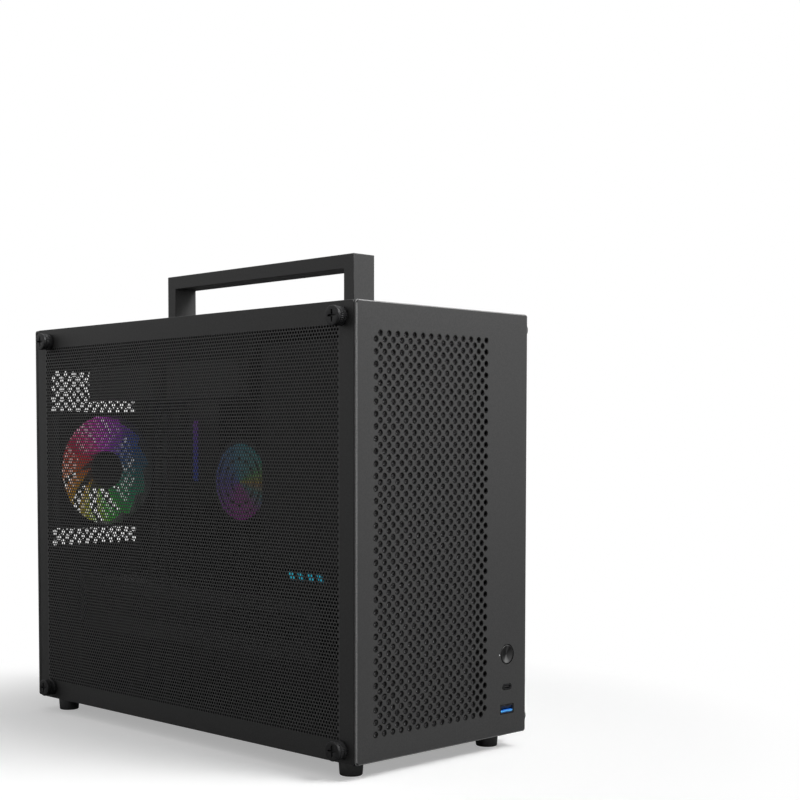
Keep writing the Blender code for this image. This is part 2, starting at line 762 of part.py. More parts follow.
def top_plate():
    inset = flange_out + CHASSIS_SHEET / 2
    high = top - CHASSIS_SHEET / 2
    outline = [
        (mesh_side + inset, top - FLANGE_HEIGHT),
        (mesh_side + inset, high),
        (plain_side - inset, high),
        (plain_side - inset, top - FLANGE_HEIGHT),
    ]
    plate = folded("top_plate", outline, panel_front, panel_rear, black_coat)
    # Pressed bosses that the radiator hangs from
    overlap = CHASSIS_SHEET / 2
    boss_length = RADIATOR_BOSS + overlap
    bosses = []
    radiator_rear = radiator_front + radiator_length
    for x in (radiator_left + RADIATOR_BOSS_INSET, radiator_right - RADIATOR_BOSS_INSET):
        for y in (radiator_front + RADIATOR_BOSS_INSET, radiator_rear - RADIATOR_BOSS_INSET):
            centre = (x, y, roof_low + overlap - boss_length / 2)
            bosses.append(round_bar(2, centre, RADIATOR_BOSS_RADIUS, boss_length, 8))
    # Vent over the radiator, clear of the rear leg of the handle
    slot_length = (fan_size - 2 * TOP_VENT_MARGIN - TOP_VENT_WEB) / 2
    keep_clear = HANDLE_BAR_THICKNESS / 2 + TOP_VENT_WIDTH
    slots = []
    for column in (0, 1):
        for index in range(int((radiator_length - 2 * TOP_VENT_PITCH) / TOP_VENT_PITCH)):
            x = radiator_left + TOP_VENT_MARGIN + column * (slot_length + TOP_VENT_WEB)
            y = radiator_front + TOP_VENT_PITCH * (index + 1.5) - TOP_VENT_WIDTH / 2
            beside_leg = x < HANDLE_BAR_WIDTH and x + slot_length > -HANDLE_BAR_WIDTH
            if beside_leg and abs(y + TOP_VENT_WIDTH / 2 - handle_legs[1]) < keep_clear:
                continue
            high_corner = (x + slot_length, y + TOP_VENT_WIDTH, top + CHASSIS_SHEET)
            slots.append(block((x, y, roof_low - CHASSIS_SHEET), high_corner))
    holes = [
        round_bar(2, (0.0, y, top), HANDLE_SCREW_RADIUS + CLEARANCE, 4 * CHASSIS_SHEET, 8)
        for y in handle_legs
    ]
    join(plate, tool("radiator_bosses", several(bosses)))
    cut(plate, tool("top_vent", several(slots)), tool("handle_holes", several(holes)), shanks)
    return plate


def handle():
    half_w = HANDLE_BAR_WIDTH / 2
    half_l = HANDLE_LENGTH / 2
    high = top + HANDLE_RISE
    loop = part("handle", block((-half_w, -half_l, handle_low), (half_w, half_l, high)), black_coat)
    inner = half_l - HANDLE_BAR_THICKNESS
    gap = tool(
        "handle_gap",
        block(
            (-2 * half_w, -inner, handle_low - HANDLE_BAR_THICKNESS),
            (2 * half_w, inner, high - HANDLE_BAR_THICKNESS),
        ),
    )
    depth = HANDLE_SCREW_DEPTH + CLEARANCE
    tap_radius = HANDLE_SCREW_RADIUS + CLEARANCE
    taps = [round_bar(2, (0.0, y, handle_low), tap_radius, 2 * depth, 8) for y in handle_legs]
    cut(loop, gap)
    edge = loop.modifiers.new("broken_edges", "BEVEL")
    edge.width = HANDLE_EDGE
    edge.segments = 1
    edge.limit_method = "ANGLE"
    cut(loop, tool("handle_taps", several(taps)))
    for name, y in zip(("handle_screw_front", "handle_screw_rear"), handle_legs):
        under = roof_low - CLEARANCE
        reach = handle_low + HANDLE_SCREW_DEPTH - under
        profile = [
            (0.0, reach),
            (HANDLE_SCREW_RADIUS, reach),
            (HANDLE_SCREW_RADIUS, 0.0),
            (HANDLE_SCREW_HEAD_RADIUS, 0.0),
            (HANDLE_SCREW_HEAD_RADIUS, -HANDLE_SCREW_HEAD_HEIGHT),
            (0.0, -HANDLE_SCREW_HEAD_HEIGHT),
        ]
        turned(name, profile, bare_steel, (0.0, y, under), None, 8)


def feet():
    high = FOOT_HEIGHT - CLEARANCE
    profile = [
        (0.0, high + FOOT_STEM_LENGTH),
        (FOOT_STEM_RADIUS, high + FOOT_STEM_LENGTH),
        (FOOT_STEM_RADIUS, high),
        (FOOT_TOP_RADIUS, high),
        (FOOT_BOTTOM_RADIUS, FOOT_EDGE),
        (FOOT_BOTTOM_RADIUS - FOOT_EDGE, 0.0),
        (0.0, 0.0),
    ]
    for name, (x, y) in foot_places().items():
        turned(name, profile, rubber, (x, y, 0.0), None, 16)


def thumb_screws():
    stand = SCREW_STAND
    profile = [
        (0.0, stand),
        (SCREW_HEAD_RADIUS - SCREW_HEAD_EDGE, stand),
        (SCREW_HEAD_RADIUS, stand * 0.92),
        (SCREW_HEAD_RADIUS, stand * 0.80),
        (SCREW_GROOVE_RADIUS, stand * 0.74),
        (SCREW_BARREL_RADIUS, stand * 0.66),
        (SCREW_BARREL_RADIUS, stand * 0.52),
        (SCREW_GROOVE_RADIUS, stand * 0.45),
        (SCREW_BARREL_RADIUS, stand * 0.37),
        (SCREW_BARREL_RADIUS, CLEARANCE),
        (SCREW_SHANK_RADIUS, CLEARANCE),
        (SCREW_SHANK_RADIUS, -SCREW_SHANK_LENGTH),
        (0.0, -SCREW_SHANK_LENGTH),
    ]
    corners = ("front_low", "front_high", "rear_low", "rear_high")
    for side, x, angle in (("left", mesh_side, -math.pi / 2), ("right", plain_side, math.pi / 2)):
        for corner, (y, z) in zip(corners, screw_places()):
            turned(f"thumb_screw_{side}_{corner}", profile, black_plastic, (x, y, z), (0.0, angle, 0.0), 10)


slot_right = plain_side - SLOT_SIDE_INSET
slot_left = slot_right - SLOT_OPENING_WIDTH


def rear_wall():
    low = (mesh_side, rear_plate, bottom)
    high = (plain_side, rear, top)
    wall = part("rear_wall", block(low, high), black_coat)
    corners = tool("rear_corners", corner_forms(1, low, high, CORNER_RADIUS))
    sheet = CHASSIS_SHEET
    recess = tool(
        "rear_recess",
        block(
            (mesh_side + sheet, rear_plate + sheet, bottom + sheet),
            (plain_side - sheet, rear + REAR_LIP, top - sheet),
            1,
            CORNER_RADIUS,
            1,
        ),
    )
    centres = stagger(
        mesh_side + VENT_SIDE_MARGIN,
        bottom + VENT_LOW,
        ports_left - VENT_TO_PORTS - mesh_side - VENT_SIDE_MARGIN,
        HEIGHT - VENT_LOW - VENT_TOP_MARGIN,
        VENT_PITCH,
        VENT_ROW_PITCH,
        VENT_HOLE_RADIUS,
    )
    middle = rear_plate + sheet / 2
    vent = tool("rear_vent", punches(1, centres, VENT_HOLE_RADIUS, middle, 3 * sheet))
    through = (rear_plate - sheet, rear_plate + 2 * sheet)
    inlet_half_w = INLET_BODY[0] / 2 + RUNNING_GAP
    inlet_half_h = INLET_BODY[1] / 2 + RUNNING_GAP
    openings = [
        block((ports_left, through[0], ports_low), (board_face, through[1], ports_high)),
        block(
            (inlet_x - inlet_half_w, through[0], inlet_z - inlet_half_h),
            (inlet_x + inlet_half_w, through[1], inlet_z + inlet_half_h),
        ),
    ]
    for index in range(SLOT_COUNT):
        z = slot_level(index)
        openings.append(
            block(
                (slot_left, through[0], z - SLOT_OPENING_HEIGHT / 2),
                (slot_right, through[1], z + SLOT_OPENING_HEIGHT / 2),
            )
        )
    cut(wall, vent, tool("rear_openings", several(openings)), recess, corners)
    return wall


def motherboard_tray():
    low = (tray_face, board_front - TRAY_FRONT_MARGIN, floor_top + CLEARANCE)
    high = (tray_face + CHASSIS_SHEET, panel_rear, roof_low - CLEARANCE)
    tray = part("motherboard_tray", block(low, high), dark_steel)
    inset = BOARD_HOLE_INSET
    rows = (board_low + inset, (board_low + board_high) / 2, board_high - inset)
    columns = (board_front + inset, (board_front + board_rear) / 2, board_rear - inset)
    overlap = CHASSIS_SHEET / 2
    length = STANDOFF_HEIGHT + overlap
    studs = [
        round_bar(0, (tray_face + overlap - length / 2, y, z), STANDOFF_RADIUS, length, 8)
        for y in columns
        for z in rows
    ]
    join(tray, tool("standoffs", several(studs)))
    slot_rear = low[1] + TRAY_FRONT_MARGIN / 2 + CABLE_SLOT_WIDTH
    step = (high[2] - low[2]) / CABLE_SLOT_COUNT
    cable_slots = []
    for index in range(CABLE_SLOT_COUNT):
        z = low[2] + (index + 0.5) * step
        low_corner = (low[0] - CHASSIS_SHEET, slot_rear - CABLE_SLOT_WIDTH, z - CABLE_SLOT_LENGTH / 2)
        cable_slots.append(block(low_corner, (high[0] + CHASSIS_SHEET, slot_rear, z + CABLE_SLOT_LENGTH / 2)))
    cut(tray, tool("cable_slots", several(cable_slots)), shanks)
    return tray


def motherboard():
    low = (board_face, board_front, board_low)
    board = part("motherboard", block(low, (board_back, board_rear, board_high)), board_black)
    face = board_face - SOCKET_HEIGHT
    sunk = board_face + BOARD_THICKNESS / 2
    half = PUMP_SOCKET / 2
    forms = [block((face, pump_y - half, pump_z - half), (sunk, pump_y + half, pump_z + half))]
    margin = MODULE_SOCKET_MARGIN
    for index in range(MODULE_COUNT):
        y = module_front + index * MODULE_PITCH + (MODULE_THICKNESS - MODULE_SOCKET_WIDTH) / 2
        high_corner = (sunk, y + MODULE_SOCKET_WIDTH, module_high + margin)
        forms.append(block((face, y, module_low - margin), high_corner))
    half = CARD_SOCKET_WIDTH / 2
    socket_end = board_rear - CARD_SOCKET_REAR
    for level in (slot_level(0), slot_level(2)):
        low_corner = (face, socket_end - CARD_SOCKET_LENGTH, level - half)
        forms.append(block(low_corner, (sunk, socket_end, level + half)))
    join(board, tool("sockets", several(forms)))
    return board


def memory_modules():
    for index in range(MODULE_COUNT):
        y = module_front + index * MODULE_PITCH
        low = (socket_face - MODULE_HEIGHT, y, module_low)
        high = (socket_face, y + MODULE_THICKNESS, module_high)
        part(f"memory_module_{index + 1}", block(low, high, 1, 0.1 * MODULE_HEIGHT, 1), black_plastic)


def rear_connectors():
    # The shield, the metal socket cans behind it and the cover beside them
    gap = CLEARANCE
    lap = PORT_SHIELD_LAP
    shield_y = (rear_plate - gap - SHIELD_SHEET, rear_plate - gap)
    shield = part(
        "port_shield",
        block(
            (ports_left - lap, shield_y[0], ports_low - lap),
            (board_face + lap, shield_y[1], ports_high + lap),
        ),
        bare_steel,
    )
    opening = ports_high - ports_low
    levels = [(ports_low + low * opening, ports_low + high * opening) for low, high in PORT_CAN_LEVELS]
    base_right = board_face - gap
    can_x = (board_face - PORT_CAN_REACH, base_right - PORT_BASE_THICKNESS / 3)
    can_rear = rear_plate + CHASSIS_SHEET
    cans = [block((can_x[0], can_front, low), (can_x[1], can_rear, high)) for low, high in levels]
    windows = [
        block((can_x[0] - gap, shield_y[0] - gap, low - gap), (base_right + gap, rear, high + gap))
        for low, high in levels
    ]
    cut(shield, tool("port_windows", several(windows)))
    base = part(
        "rear_port_block",
        block(
            (base_right - PORT_BASE_THICKNESS, can_front, levels[0][0] - PORT_BASE_MARGIN),
            (base_right, shield_y[0] - gap, levels[-1][1] + PORT_BASE_MARGIN),
        ),
        bare_steel,
    )
    join(base, tool("port_cans", several(cans)))
    cover_low = (board_face - PORT_COVER_REACH, cover_front, ports_low + PORT_COVER_LOW_GAP)
    cover_high = (base_right, cover_rear, board_high - PORT_COVER_TOP_GAP)
    part("port_cover", block(cover_low, cover_high, 0, PORT_COVER_CORNER, 1), black_plastic)


def graphics_card():
    card_rear = rear_plate - CARD_REAR_GAP
    card_front = front + CARD_FRONT_GAP
    length = card_rear - card_front
    low = (card_right - CARD_DEPTH, card_front, card_low)
    high = (card_right, card_rear, card_top)
    card = part("graphics_card", block(low, high, 2, CARD_CORNER, 1), black_plastic)
    middle_x = (low[0] + high[0]) / 2
    fan_places = [card_front + length * share for share in (0.24, 0.60)]
    fan_pitch = fan_places[1] - fan_places[0]
    well_radius = min(CARD_DEPTH / 2 - CARD_FAN_EDGE, (fan_pitch - CARD_FAN_WEB) / 2)
    well_depth = CARD_FAN_DEPTH + CLEARANCE
    wells = [round_bar(2, (middle_x, y, card_low), well_radius, 2 * well_depth, 20) for y in fan_places]
    bracket_y = (rear_plate - CLEARANCE - SHIELD_SHEET, rear_plate - CLEARANCE)
    port_w, port_h = CARD_PORT_SIZE
    ports = []
    windows = []
    gap = CLEARANCE
    for level in (slot_level(0), slot_level(1)):
        for x in (middle_x - CARD_PORT_PITCH, middle_x):
            z = (level - port_h / 2, level + port_h / 2)
            low_corner = (x, card_rear - CARD_REAR_GAP, z[0])
            ports.append(block(low_corner, (x + port_w, rear_plate + gap, z[1])))
            low_corner = (x - gap, bracket_y[0] - SHIELD_SHEET, z[0] - gap)
            windows.append(block(low_corner, (x + port_w + gap, bracket_y[1] + SHIELD_SHEET, z[1] + gap)))
    edge_rear = card_rear - CARD_EDGE_REAR
    edge_half = BOARD_THICKNESS / 2
    edge_connector = tool(
        "card_edge",
        block(
            (high[0] - CARD_CORNER / 2, edge_rear - CARD_EDGE_LENGTH, slot_level(0) - edge_half),
            (socket_face, edge_rear, slot_level(0) + edge_half),
        ),
    )
    cut(card, tool("card_fan_wells", several(wells)))
    join(card, edge_connector, tool("card_ports", several(ports)))
    low_z = slot_level(1) - SLOT_PITCH / 2 + CLEARANCE
    high_z = slot_level(0) + SLOT_PITCH / 2 - CLEARANCE
    bracket = part(
        "graphics_bracket",
        block(
            (slot_left - SLOT_COVER_LAP, bracket_y[0], low_z),
            (slot_right + SLOT_COVER_LAP, bracket_y[1], high_z),
        ),
        bare_steel,
    )
    cut(bracket, tool("card_port_windows", several(windows)))
    for index, y in enumerate(fan_places):
        name = f"graphics_fan_rotor_{index + 1}"
        blades = well_radius - RUNNING_GAP
        rotor(name, (middle_x, y, card_low), (math.pi, 0.0, 0.0), blades, CARD_FAN_DEPTH, 0.0)


def slot_covers():
    half = SLOT_PITCH / 2 - CLEARANCE
    for index in (2, 3):
        z = slot_level(index)
        low = (slot_left - SLOT_COVER_LAP, rear_plate - CLEARANCE - SHIELD_SHEET, z - half)
        high = (slot_right + SLOT_COVER_LAP, rear_plate - CLEARANCE, z + half)
        part(f"slot_cover_{index - 1}", block(low, high), dark_steel)


def blade(inner, outer, depth):
    # One blade on a small grid: it sweeps round as it goes out and rises from edge to edge
    shape = bmesh.new()
    bmesh.ops.create_grid(shape, x_segments=2, y_segments=1, size=0.5)
    span = 2 * math.pi / BLADE_COUNT * 0.82
    for point in shape.verts:
        along = point.co.x + 0.5
        across = point.co.y
        radius = inner + (outer - inner) * along
        angle = span * across + 0.35 * along * along
        height = -depth * (0.5 + 0.62 * across * (1.0 - 0.25 * along))
        point.co = (radius * math.cos(angle), radius * math.sin(angle), height)
    return shape


def rotor(name, at, turn, radius, depth, setback):
    # A hub with its blades about local Z. The front face is at local z = -setback
    hub_depth = depth
    hub = round_bar(2, (0.0, 0.0, -setback - hub_depth / 2), FAN_HUB_RADIUS, hub_depth, 16)
    made = part(name, hub, frosted_blade, at, turn)
    blades = []
    for index in range(BLADE_COUNT):
        shape = blade(FAN_HUB_RADIUS - 0.0015, radius - RUNNING_GAP, hub_depth * 0.9)
        bmesh.ops.rotate(
            shape, matrix=Matrix.Rotation(2 * math.pi * index / BLADE_COUNT, 3, "Z"), verts=shape.verts
        )
        bmesh.ops.translate(shape, vec=(0.0, 0.0, -setback - hub_depth * 0.05), verts=shape.verts)
        blades.append(shape)
    fan = tool(name + "_blades", several(blades), at, turn)
    wall = fan.modifiers.new("blade_thickness", "SOLIDIFY")
    wall.thickness = BLADE_THICKNESS
    wall.offset = 0.0
    join(made, fan)
    return made


def fan_frame(name, at, turn):
    # A square frame with a round bore. Local Z points to the open side, its front face is z = 0
    half = fan_size / 2
    frame = part(
        name,
        block((-half, -half, -FAN_THICKNESS), (half, half, 0.0), 2, FAN_CORNER, 1),
        black_plastic,
        at,
        turn,
    )
    bore = tool(
        name + "_bore",
        round_bar(2, (0.0, 0.0, -FAN_THICKNESS / 2), fan_bore_radius, 2 * FAN_THICKNESS, 24),
        at,
        turn,
    )
    back = -FAN_THICKNESS
    stator = FAN_STATOR_THICKNESS
    reach = fan_bore_radius + FAN_RIM / 2
    spider = []
    for index in range(4):
        bar = block(
            (FAN_HUB_RADIUS - 0.002, -FAN_STRUT_WIDTH / 2, back),
            (reach, FAN_STRUT_WIDTH / 2, back + stator),
        )
        angle = math.pi / 4 + index * math.pi / 2
        bmesh.ops.rotate(bar, matrix=Matrix.Rotation(angle, 3, "Z"), verts=bar.verts)
        spider.append(bar)
    hub = round_bar(2, (0.0, 0.0, back + stator / 2), FAN_HUB_RADIUS, stator, 16)
    cut(frame, bore)
    join(frame, tool(name + "_hub", hub, at, turn), tool(name + "_struts", several(spider), at, turn))
    return frame


def fans():
    facing_front = (math.pi / 2, 0.0, 0.0)
    rear_at = (mesh_side + REAR_FAN_GAP + fan_size / 2, panel_rear - FAN_THICKNESS, bottom + REAR_FAN_HEIGHT)
    depth = FAN_THICKNESS - FAN_STATOR_THICKNESS - RUNNING_GAP - CLEARANCE
    fan_frame("rear_fan_frame", rear_at, facing_front)
    rotor("rear_fan_rotor", rear_at, facing_front, fan_bore_radius, depth, RUNNING_GAP)
    facing_down = (math.pi, 0.0, 0.0)
    middle_x = (radiator_left + radiator_right) / 2
    middle_y = radiator_front + radiator_length / 2
    offset = (fan_size + RADIATOR_FAN_SPACING) / 2
    for place, side in (("front", -1), ("rear", 1)):
        at = (middle_x, middle_y + side * offset, radiator_fan_low)
        fan_frame(f"radiator_fan_frame_{place}", at, facing_down)
        rotor(f"radiator_fan_rotor_{place}", at, facing_down, fan_bore_radius, depth, RUNNING_GAP)


def radiator():
    low = (radiator_left, radiator_front, radiator_low)
    high = (radiator_right, radiator_front + radiator_length, radiator_top)
    body = part("radiator", block(low, high, 1, RADIATOR_RAIL / 2, 1), black_coat)
    # The finned core lies a little inside its frame, above and below
    sunk = CHASSIS_SHEET
    pockets = [
        block(
            (low[0] + RADIATOR_RAIL, low[1] + RADIATOR_TANK + sunk, z - sunk),
            (high[0] - RADIATOR_RAIL, high[1] - RADIATOR_TANK - sunk, z + sunk),
        )
        for z in (low[2], high[2])
    ]
    cut(body, tool("radiator_core_faces", several(pockets)))
    # Hose fittings under the end tank
    tank_y = low[1] + RADIATOR_TANK / 2 + CLEARANCE
    sunk = FITTING_LENGTH / 4
    length = FITTING_LENGTH + sunk
    middle_x = (low[0] + high[0]) / 2
    fittings = [
        round_bar(2, (x, tank_y, low[2] + sunk - length / 2), FITTING_RADIUS, length, 12)
        for x in (middle_x - FITTING_SPACING, middle_x + FITTING_SPACING)
    ]
    join(body, tool("radiator_fittings", several(fittings)))
    return body


def pump():
    at = (socket_face - PUMP_HEIGHT, pump_y, pump_z)
    facing_side = (0.0, -math.pi / 2, 0.0)
    edge = 0.1 * PUMP_RADIUS
    profile = [
        (0.0, 0.0),
        (PUMP_RADIUS - edge, 0.0),
        (PUMP_RADIUS, -edge),
        (PUMP_RADIUS, -PUMP_HEIGHT * 0.8),
        (PUMP_RADIUS * 0.8, -PUMP_HEIGHT * 0.85),
        (PUMP_RADIUS * 0.8, -PUMP_HEIGHT),
        (0.0, -PUMP_HEIGHT),
    ]
    head = turned("pump_head", profile, black_plastic, at, facing_side, 24)
    # Hose fittings on its front side
    sunk = FITTING_LENGTH / 2
    length = FITTING_LENGTH + sunk
    fitting_x = at[0] + PUMP_HEIGHT * 0.6
    fitting_y = at[1] - PUMP_RADIUS + sunk - length / 2
    fittings = [
        round_bar(1, (fitting_x, fitting_y, at[2] + side), FITTING_RADIUS, length, 12)
        for side in (-FITTING_SPACING / 2, FITTING_SPACING / 2)
    ]
    join(head, tool("pump_fittings", several(fittings)))
    light_edge = PUMP_LIGHT_THICKNESS / 2
    ring = [
        (0.0, PUMP_LIGHT_THICKNESS),
        (pump_light_radius - light_edge, PUMP_LIGHT_THICKNESS),
        (pump_light_radius, PUMP_LIGHT_THICKNESS - light_edge),
        (pump_light_radius, CLEARANCE),
        (0.0, CLEARANCE),
    ]
    turned("pump_light", ring, pump_glow, at, facing_side, 24)


def power_supply():
    low, high = supply_low, supply_high
    body = part("power_supply", block(low, high, 0, CORNER_RADIUS, 1), black_coat)
    middle = ((low[0] + high[0]) / 2, (low[2] + high[2]) / 2)
    reach = min(high[0] - low[0], high[2] - low[2]) / 2 - PSU_GRILLE_MARGIN
    radius = (reach - PSU_GRILLE_WEB) / 3
    pockets = []
    for ring, count in ((0.0, 1), (reach - radius, 6)):
        for index in range(count):
            angle = 2 * math.pi * index / count
            centre = (middle[0] + ring * math.cos(angle), low[1], middle[1] + ring * math.sin(angle))
            pockets.append(round_bar(1, centre, radius, 2 * PSU_GRILLE_DEPTH, 6))
    cut(body, tool("power_supply_grille", several(pockets)))
    shelf_z = low[2] - CLEARANCE
    lip_x = mesh_side + SHELF_SIDE
    sheet_z = shelf_z - CHASSIS_SHEET / 2
    shelf_right = plain_side - flange_in - 2 * CLEARANCE - CHASSIS_SHEET
    outline = [(lip_x, shelf_z - SHELF_LIP), (lip_x, sheet_z), (shelf_right, sheet_z)]
    shelf = folded("power_supply_shelf", outline, bracket_back + CLEARANCE, high[1], dark_steel)
    dashes = []
    z = shelf_z - DASH_DROP - DASH_HEIGHT
    for index in range(DASH_COUNT):
        y = front + DASH_START + index * DASH_PITCH
        low_corner = (lip_x - 2 * CHASSIS_SHEET, y, z)
        dash = block(low_corner, (lip_x + 2 * CHASSIS_SHEET, y + DASH_WIDTH, z + DASH_HEIGHT))
        for point in dash.verts:
            if point.co.z > z + DASH_HEIGHT / 2:
                point.co.y += DASH_SLANT
        dashes.append(dash)
    way_right = plain_side - CABLE_WAY_SIDE
    way_front = front + CABLE_WAY_FRONT
    cable_way = block(
        (way_right - CABLE_WAY_SIZE, way_front, shelf_z - 3 * CHASSIS_SHEET),
        (way_right, way_front + CABLE_WAY_SIZE, shelf_z + 2 * CHASSIS_SHEET),
    )
    cut(shelf, tool("shelf_dashes", several(dashes)), tool("shelf_cable_way", cable_way))
    guide_x = lip_x + CHASSIS_SHEET / 2 + CLEARANCE
    guide_front = front + DASH_START - LIGHT_GUIDE_MARGIN
    guide_rear = front + DASH_START + DASH_COUNT * DASH_PITCH + LIGHT_GUIDE_MARGIN
    guide_low = (guide_x, guide_front, shelf_z - SHELF_LIP)
    guide_high = (guide_x + LIGHT_GUIDE_THICKNESS, guide_rear, shelf_z - CHASSIS_SHEET - CLEARANCE)
    part("shelf_light_guide", block(guide_low, guide_high), white_light)


def power_inlet():
    plate_y = rear_plate + CHASSIS_SHEET + CLEARANCE
    face_y = plate_y + INLET_FLANGE_THICKNESS
    half_w, half_h = INLET_BODY[0] / 2, INLET_BODY[1] / 2
    inlet = part(
        "power_inlet",
        block(
            (inlet_x - half_w, rear_plate - INLET_LENGTH, inlet_z - half_h),
            (inlet_x + half_w, face_y, inlet_z + half_h),
        ),
        black_plastic,
    )
    lap_w, lap_h = INLET_FLANGE[0] / 2, INLET_FLANGE[1] / 2
    flange = block((inlet_x - lap_w, plate_y, inlet_z - lap_h), (inlet_x + lap_w, face_y, inlet_z + lap_h))
    hollow_w, hollow_h = half_w - INLET_WALL, half_h - INLET_WALL
    hollow = block(
        (inlet_x - hollow_w, face_y - INLET_DEPTH, inlet_z - hollow_h),
        (inlet_x + hollow_w, face_y + INLET_WALL, inlet_z + hollow_h),
    )
    pins = [
        block(
            (inlet_x + x - 0.001, face_y - INLET_DEPTH - 0.001, inlet_z + z - 0.002),
            (inlet_x + x + 0.001, face_y - 0.003, inlet_z + z + 0.002),
        )
        for x, z in (
            (-INLET_PIN_SPACING, -hollow_h / 2),
            (0.0, -CLEARANCE),
            (INLET_PIN_SPACING, -hollow_h / 2),
        )
    ]
    join(inlet, tool("inlet_flange", flange))
    cut(inlet, tool("inlet_hollow", hollow))
    join(inlet, tool("inlet_pins", several(pins)))
    return inlet


def front_controls():
    # The cap slides in the front panel and in the holder. Its flange keeps it in
    flange_y = FRONT_SHEET + 2 * CLEARANCE
    profile = [
        (0.0, -BUTTON_DISH),
        (BUTTON_RADIUS - 0.0010, -0.0001),
        (BUTTON_RADIUS - 0.0004, 0.0),
        (BUTTON_RADIUS, -0.0004),
        (BUTTON_RADIUS, -flange_y),
        (flange_radius, -flange_y),
        (flange_radius, -flange_y - BUTTON_FLANGE_THICKNESS),
        (BUTTON_RADIUS, -flange_y - BUTTON_FLANGE_THICKNESS),
        (BUTTON_RADIUS, -BUTTON_LENGTH),
        (0.0, -BUTTON_LENGTH),
    ]
    turned("power_button", profile, button_metal, (control_x, front, button_z), (math.pi / 2, 0.0, 0.0), 24)
    plunger = front + BUTTON_LENGTH + BUTTON_TRAVEL + CLEARANCE
    half = SWITCH_SIZE / 2
    switch_front = plunger + SWITCH_PLUNGER_LENGTH
    body = part(
        "power_switch",
        block(
            (control_x - half, switch_front, button_z - half),
            (control_x + half, socket_rear, button_z + half),
        ),
        black_plastic,
    )
    length = SWITCH_PLUNGER_LENGTH + STEM_RADIUS / 2
    stem = round_bar(1, (control_x, plunger + length / 2, button_z), STEM_RADIUS, length, 10)
    join(body, tool("switch_plunger", stem))
    pipe_length = socket_rear - front
    part(
        "status_light_pipe",
        round_bar(1, (light_x, front + pipe_length / 2, button_z), LIGHT_PIPE_RADIUS, pipe_length, 8),
        white_light,
    )
    tongue_front = front + 2 * SOCKET_WALL
    shell = part("usb_c_port", usb_c_outline(0.0, front, socket_rear), bare_steel)
    hollow_rear = front + SOCKET_DEPTH / 2
    cut(shell, tool("usb_c_hollow", usb_c_outline(-SOCKET_WALL, front - SOCKET_WALL, hollow_rear)))
    half_w, half_h = USB_C_TONGUE[0] / 2, USB_C_TONGUE[1] / 2
    tongue = block(
        (control_x - half_w, tongue_front, usb_c_z - half_h),
        (control_x + half_w, hollow_rear + SOCKET_BACK, usb_c_z + half_h),
    )
    join(shell, tool("usb_c_tongue", tongue))
    socket = part("usb_a_port", usb_a_outline(0.0, front, socket_rear), bare_steel)
    cut(socket, tool("usb_a_hollow", usb_a_outline(-SOCKET_WALL, front - SOCKET_WALL, front + SOCKET_DEPTH)))
    tongue_top = usb_a_z + USB_A_SIZE[1] / 2 - SOCKET_WALL - CLEARANCE
    half_w = USB_A_TONGUE[0] / 2
    part(
        "usb_a_tongue",
        block(
            (control_x - half_w, tongue_front, tongue_top - USB_A_TONGUE[1]),
            (control_x + half_w, front + SOCKET_DEPTH - CLEARANCE, tongue_top),
        ),
        blue_plastic,
    )
    rim = HOLDER_MARGIN
    left = light_x - LIGHT_PIPE_RADIUS - rim / 2
    low = (left, holder_face, usb_a_z - USB_A_SIZE[1] / 2 - rim)
    high = (control_x + flange_radius + rim, holder_back, button_z + flange_radius + rim)
    holder = part("front_io_holder", block(low, high), black_plastic)
    overlap = HOLDER_THICKNESS / 2
    post_length = socket_rear - holder_back + overlap
    post_inset = HOLDER_POST_RADIUS + CLEARANCE
    post_x = high[0] - post_inset
    posts = [
        round_bar(1, (post_x, socket_rear - post_length / 2, z), HOLDER_POST_RADIUS, post_length, 8)
        for z in (low[2] + post_inset, (usb_c_z + button_z) / 2, high[2] - post_inset)
    ]
    join(holder, tool("holder_posts", several(posts)))
    cut(holder, control_openings("holder_openings", holder_face - overlap, holder_back + overlap))
    part(
        "front_io_board",
        block((low[0], front_board, low[2]), (high[0], front_board + BOARD_THICKNESS, high[2])),
        board_black,
    )


front_panel()
front_filter()
front_bracket()
side_panel("mesh_side_panel", mesh_side, mesh_side + SIDE_SHEET, True)
side_panel("plain_side_panel", plain_side, plain_side - SIDE_SHEET, False)
base_tray()
top_plate()
rear_wall()
motherboard_tray()
handle()
feet()
thumb_screws()
front_controls()
power_supply()
power_inlet()
motherboard()
memory_modules()
rear_connectors()
pump()
radiator()
fans()
graphics_card()
slot_covers()
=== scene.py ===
from math import cos, pi, radians, sin, sqrt

import bmesh
import bpy
import numpy as np
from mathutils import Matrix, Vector


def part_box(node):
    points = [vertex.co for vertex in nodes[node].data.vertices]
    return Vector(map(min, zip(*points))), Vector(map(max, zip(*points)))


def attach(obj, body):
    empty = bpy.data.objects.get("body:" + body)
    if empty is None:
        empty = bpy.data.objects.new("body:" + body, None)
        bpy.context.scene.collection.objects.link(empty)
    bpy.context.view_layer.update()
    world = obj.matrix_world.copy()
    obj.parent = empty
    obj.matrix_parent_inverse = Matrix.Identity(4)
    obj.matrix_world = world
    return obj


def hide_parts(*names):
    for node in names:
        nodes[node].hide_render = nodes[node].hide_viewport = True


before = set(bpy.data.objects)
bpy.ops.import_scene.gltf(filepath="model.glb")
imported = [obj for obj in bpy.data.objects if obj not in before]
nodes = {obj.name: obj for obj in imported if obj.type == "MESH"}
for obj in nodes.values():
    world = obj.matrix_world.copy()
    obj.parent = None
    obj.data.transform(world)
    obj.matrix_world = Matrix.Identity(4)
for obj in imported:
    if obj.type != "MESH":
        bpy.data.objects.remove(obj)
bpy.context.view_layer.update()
scene = bpy.context.scene
mm = 0.001


def boxOf(node):
    return [np.array(corner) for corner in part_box(node)]


def middleOf(node):
    return sum(boxOf(node)) / 2


def nodesNamed(start):
    return sorted(name for name in nodes if name.startswith(start))


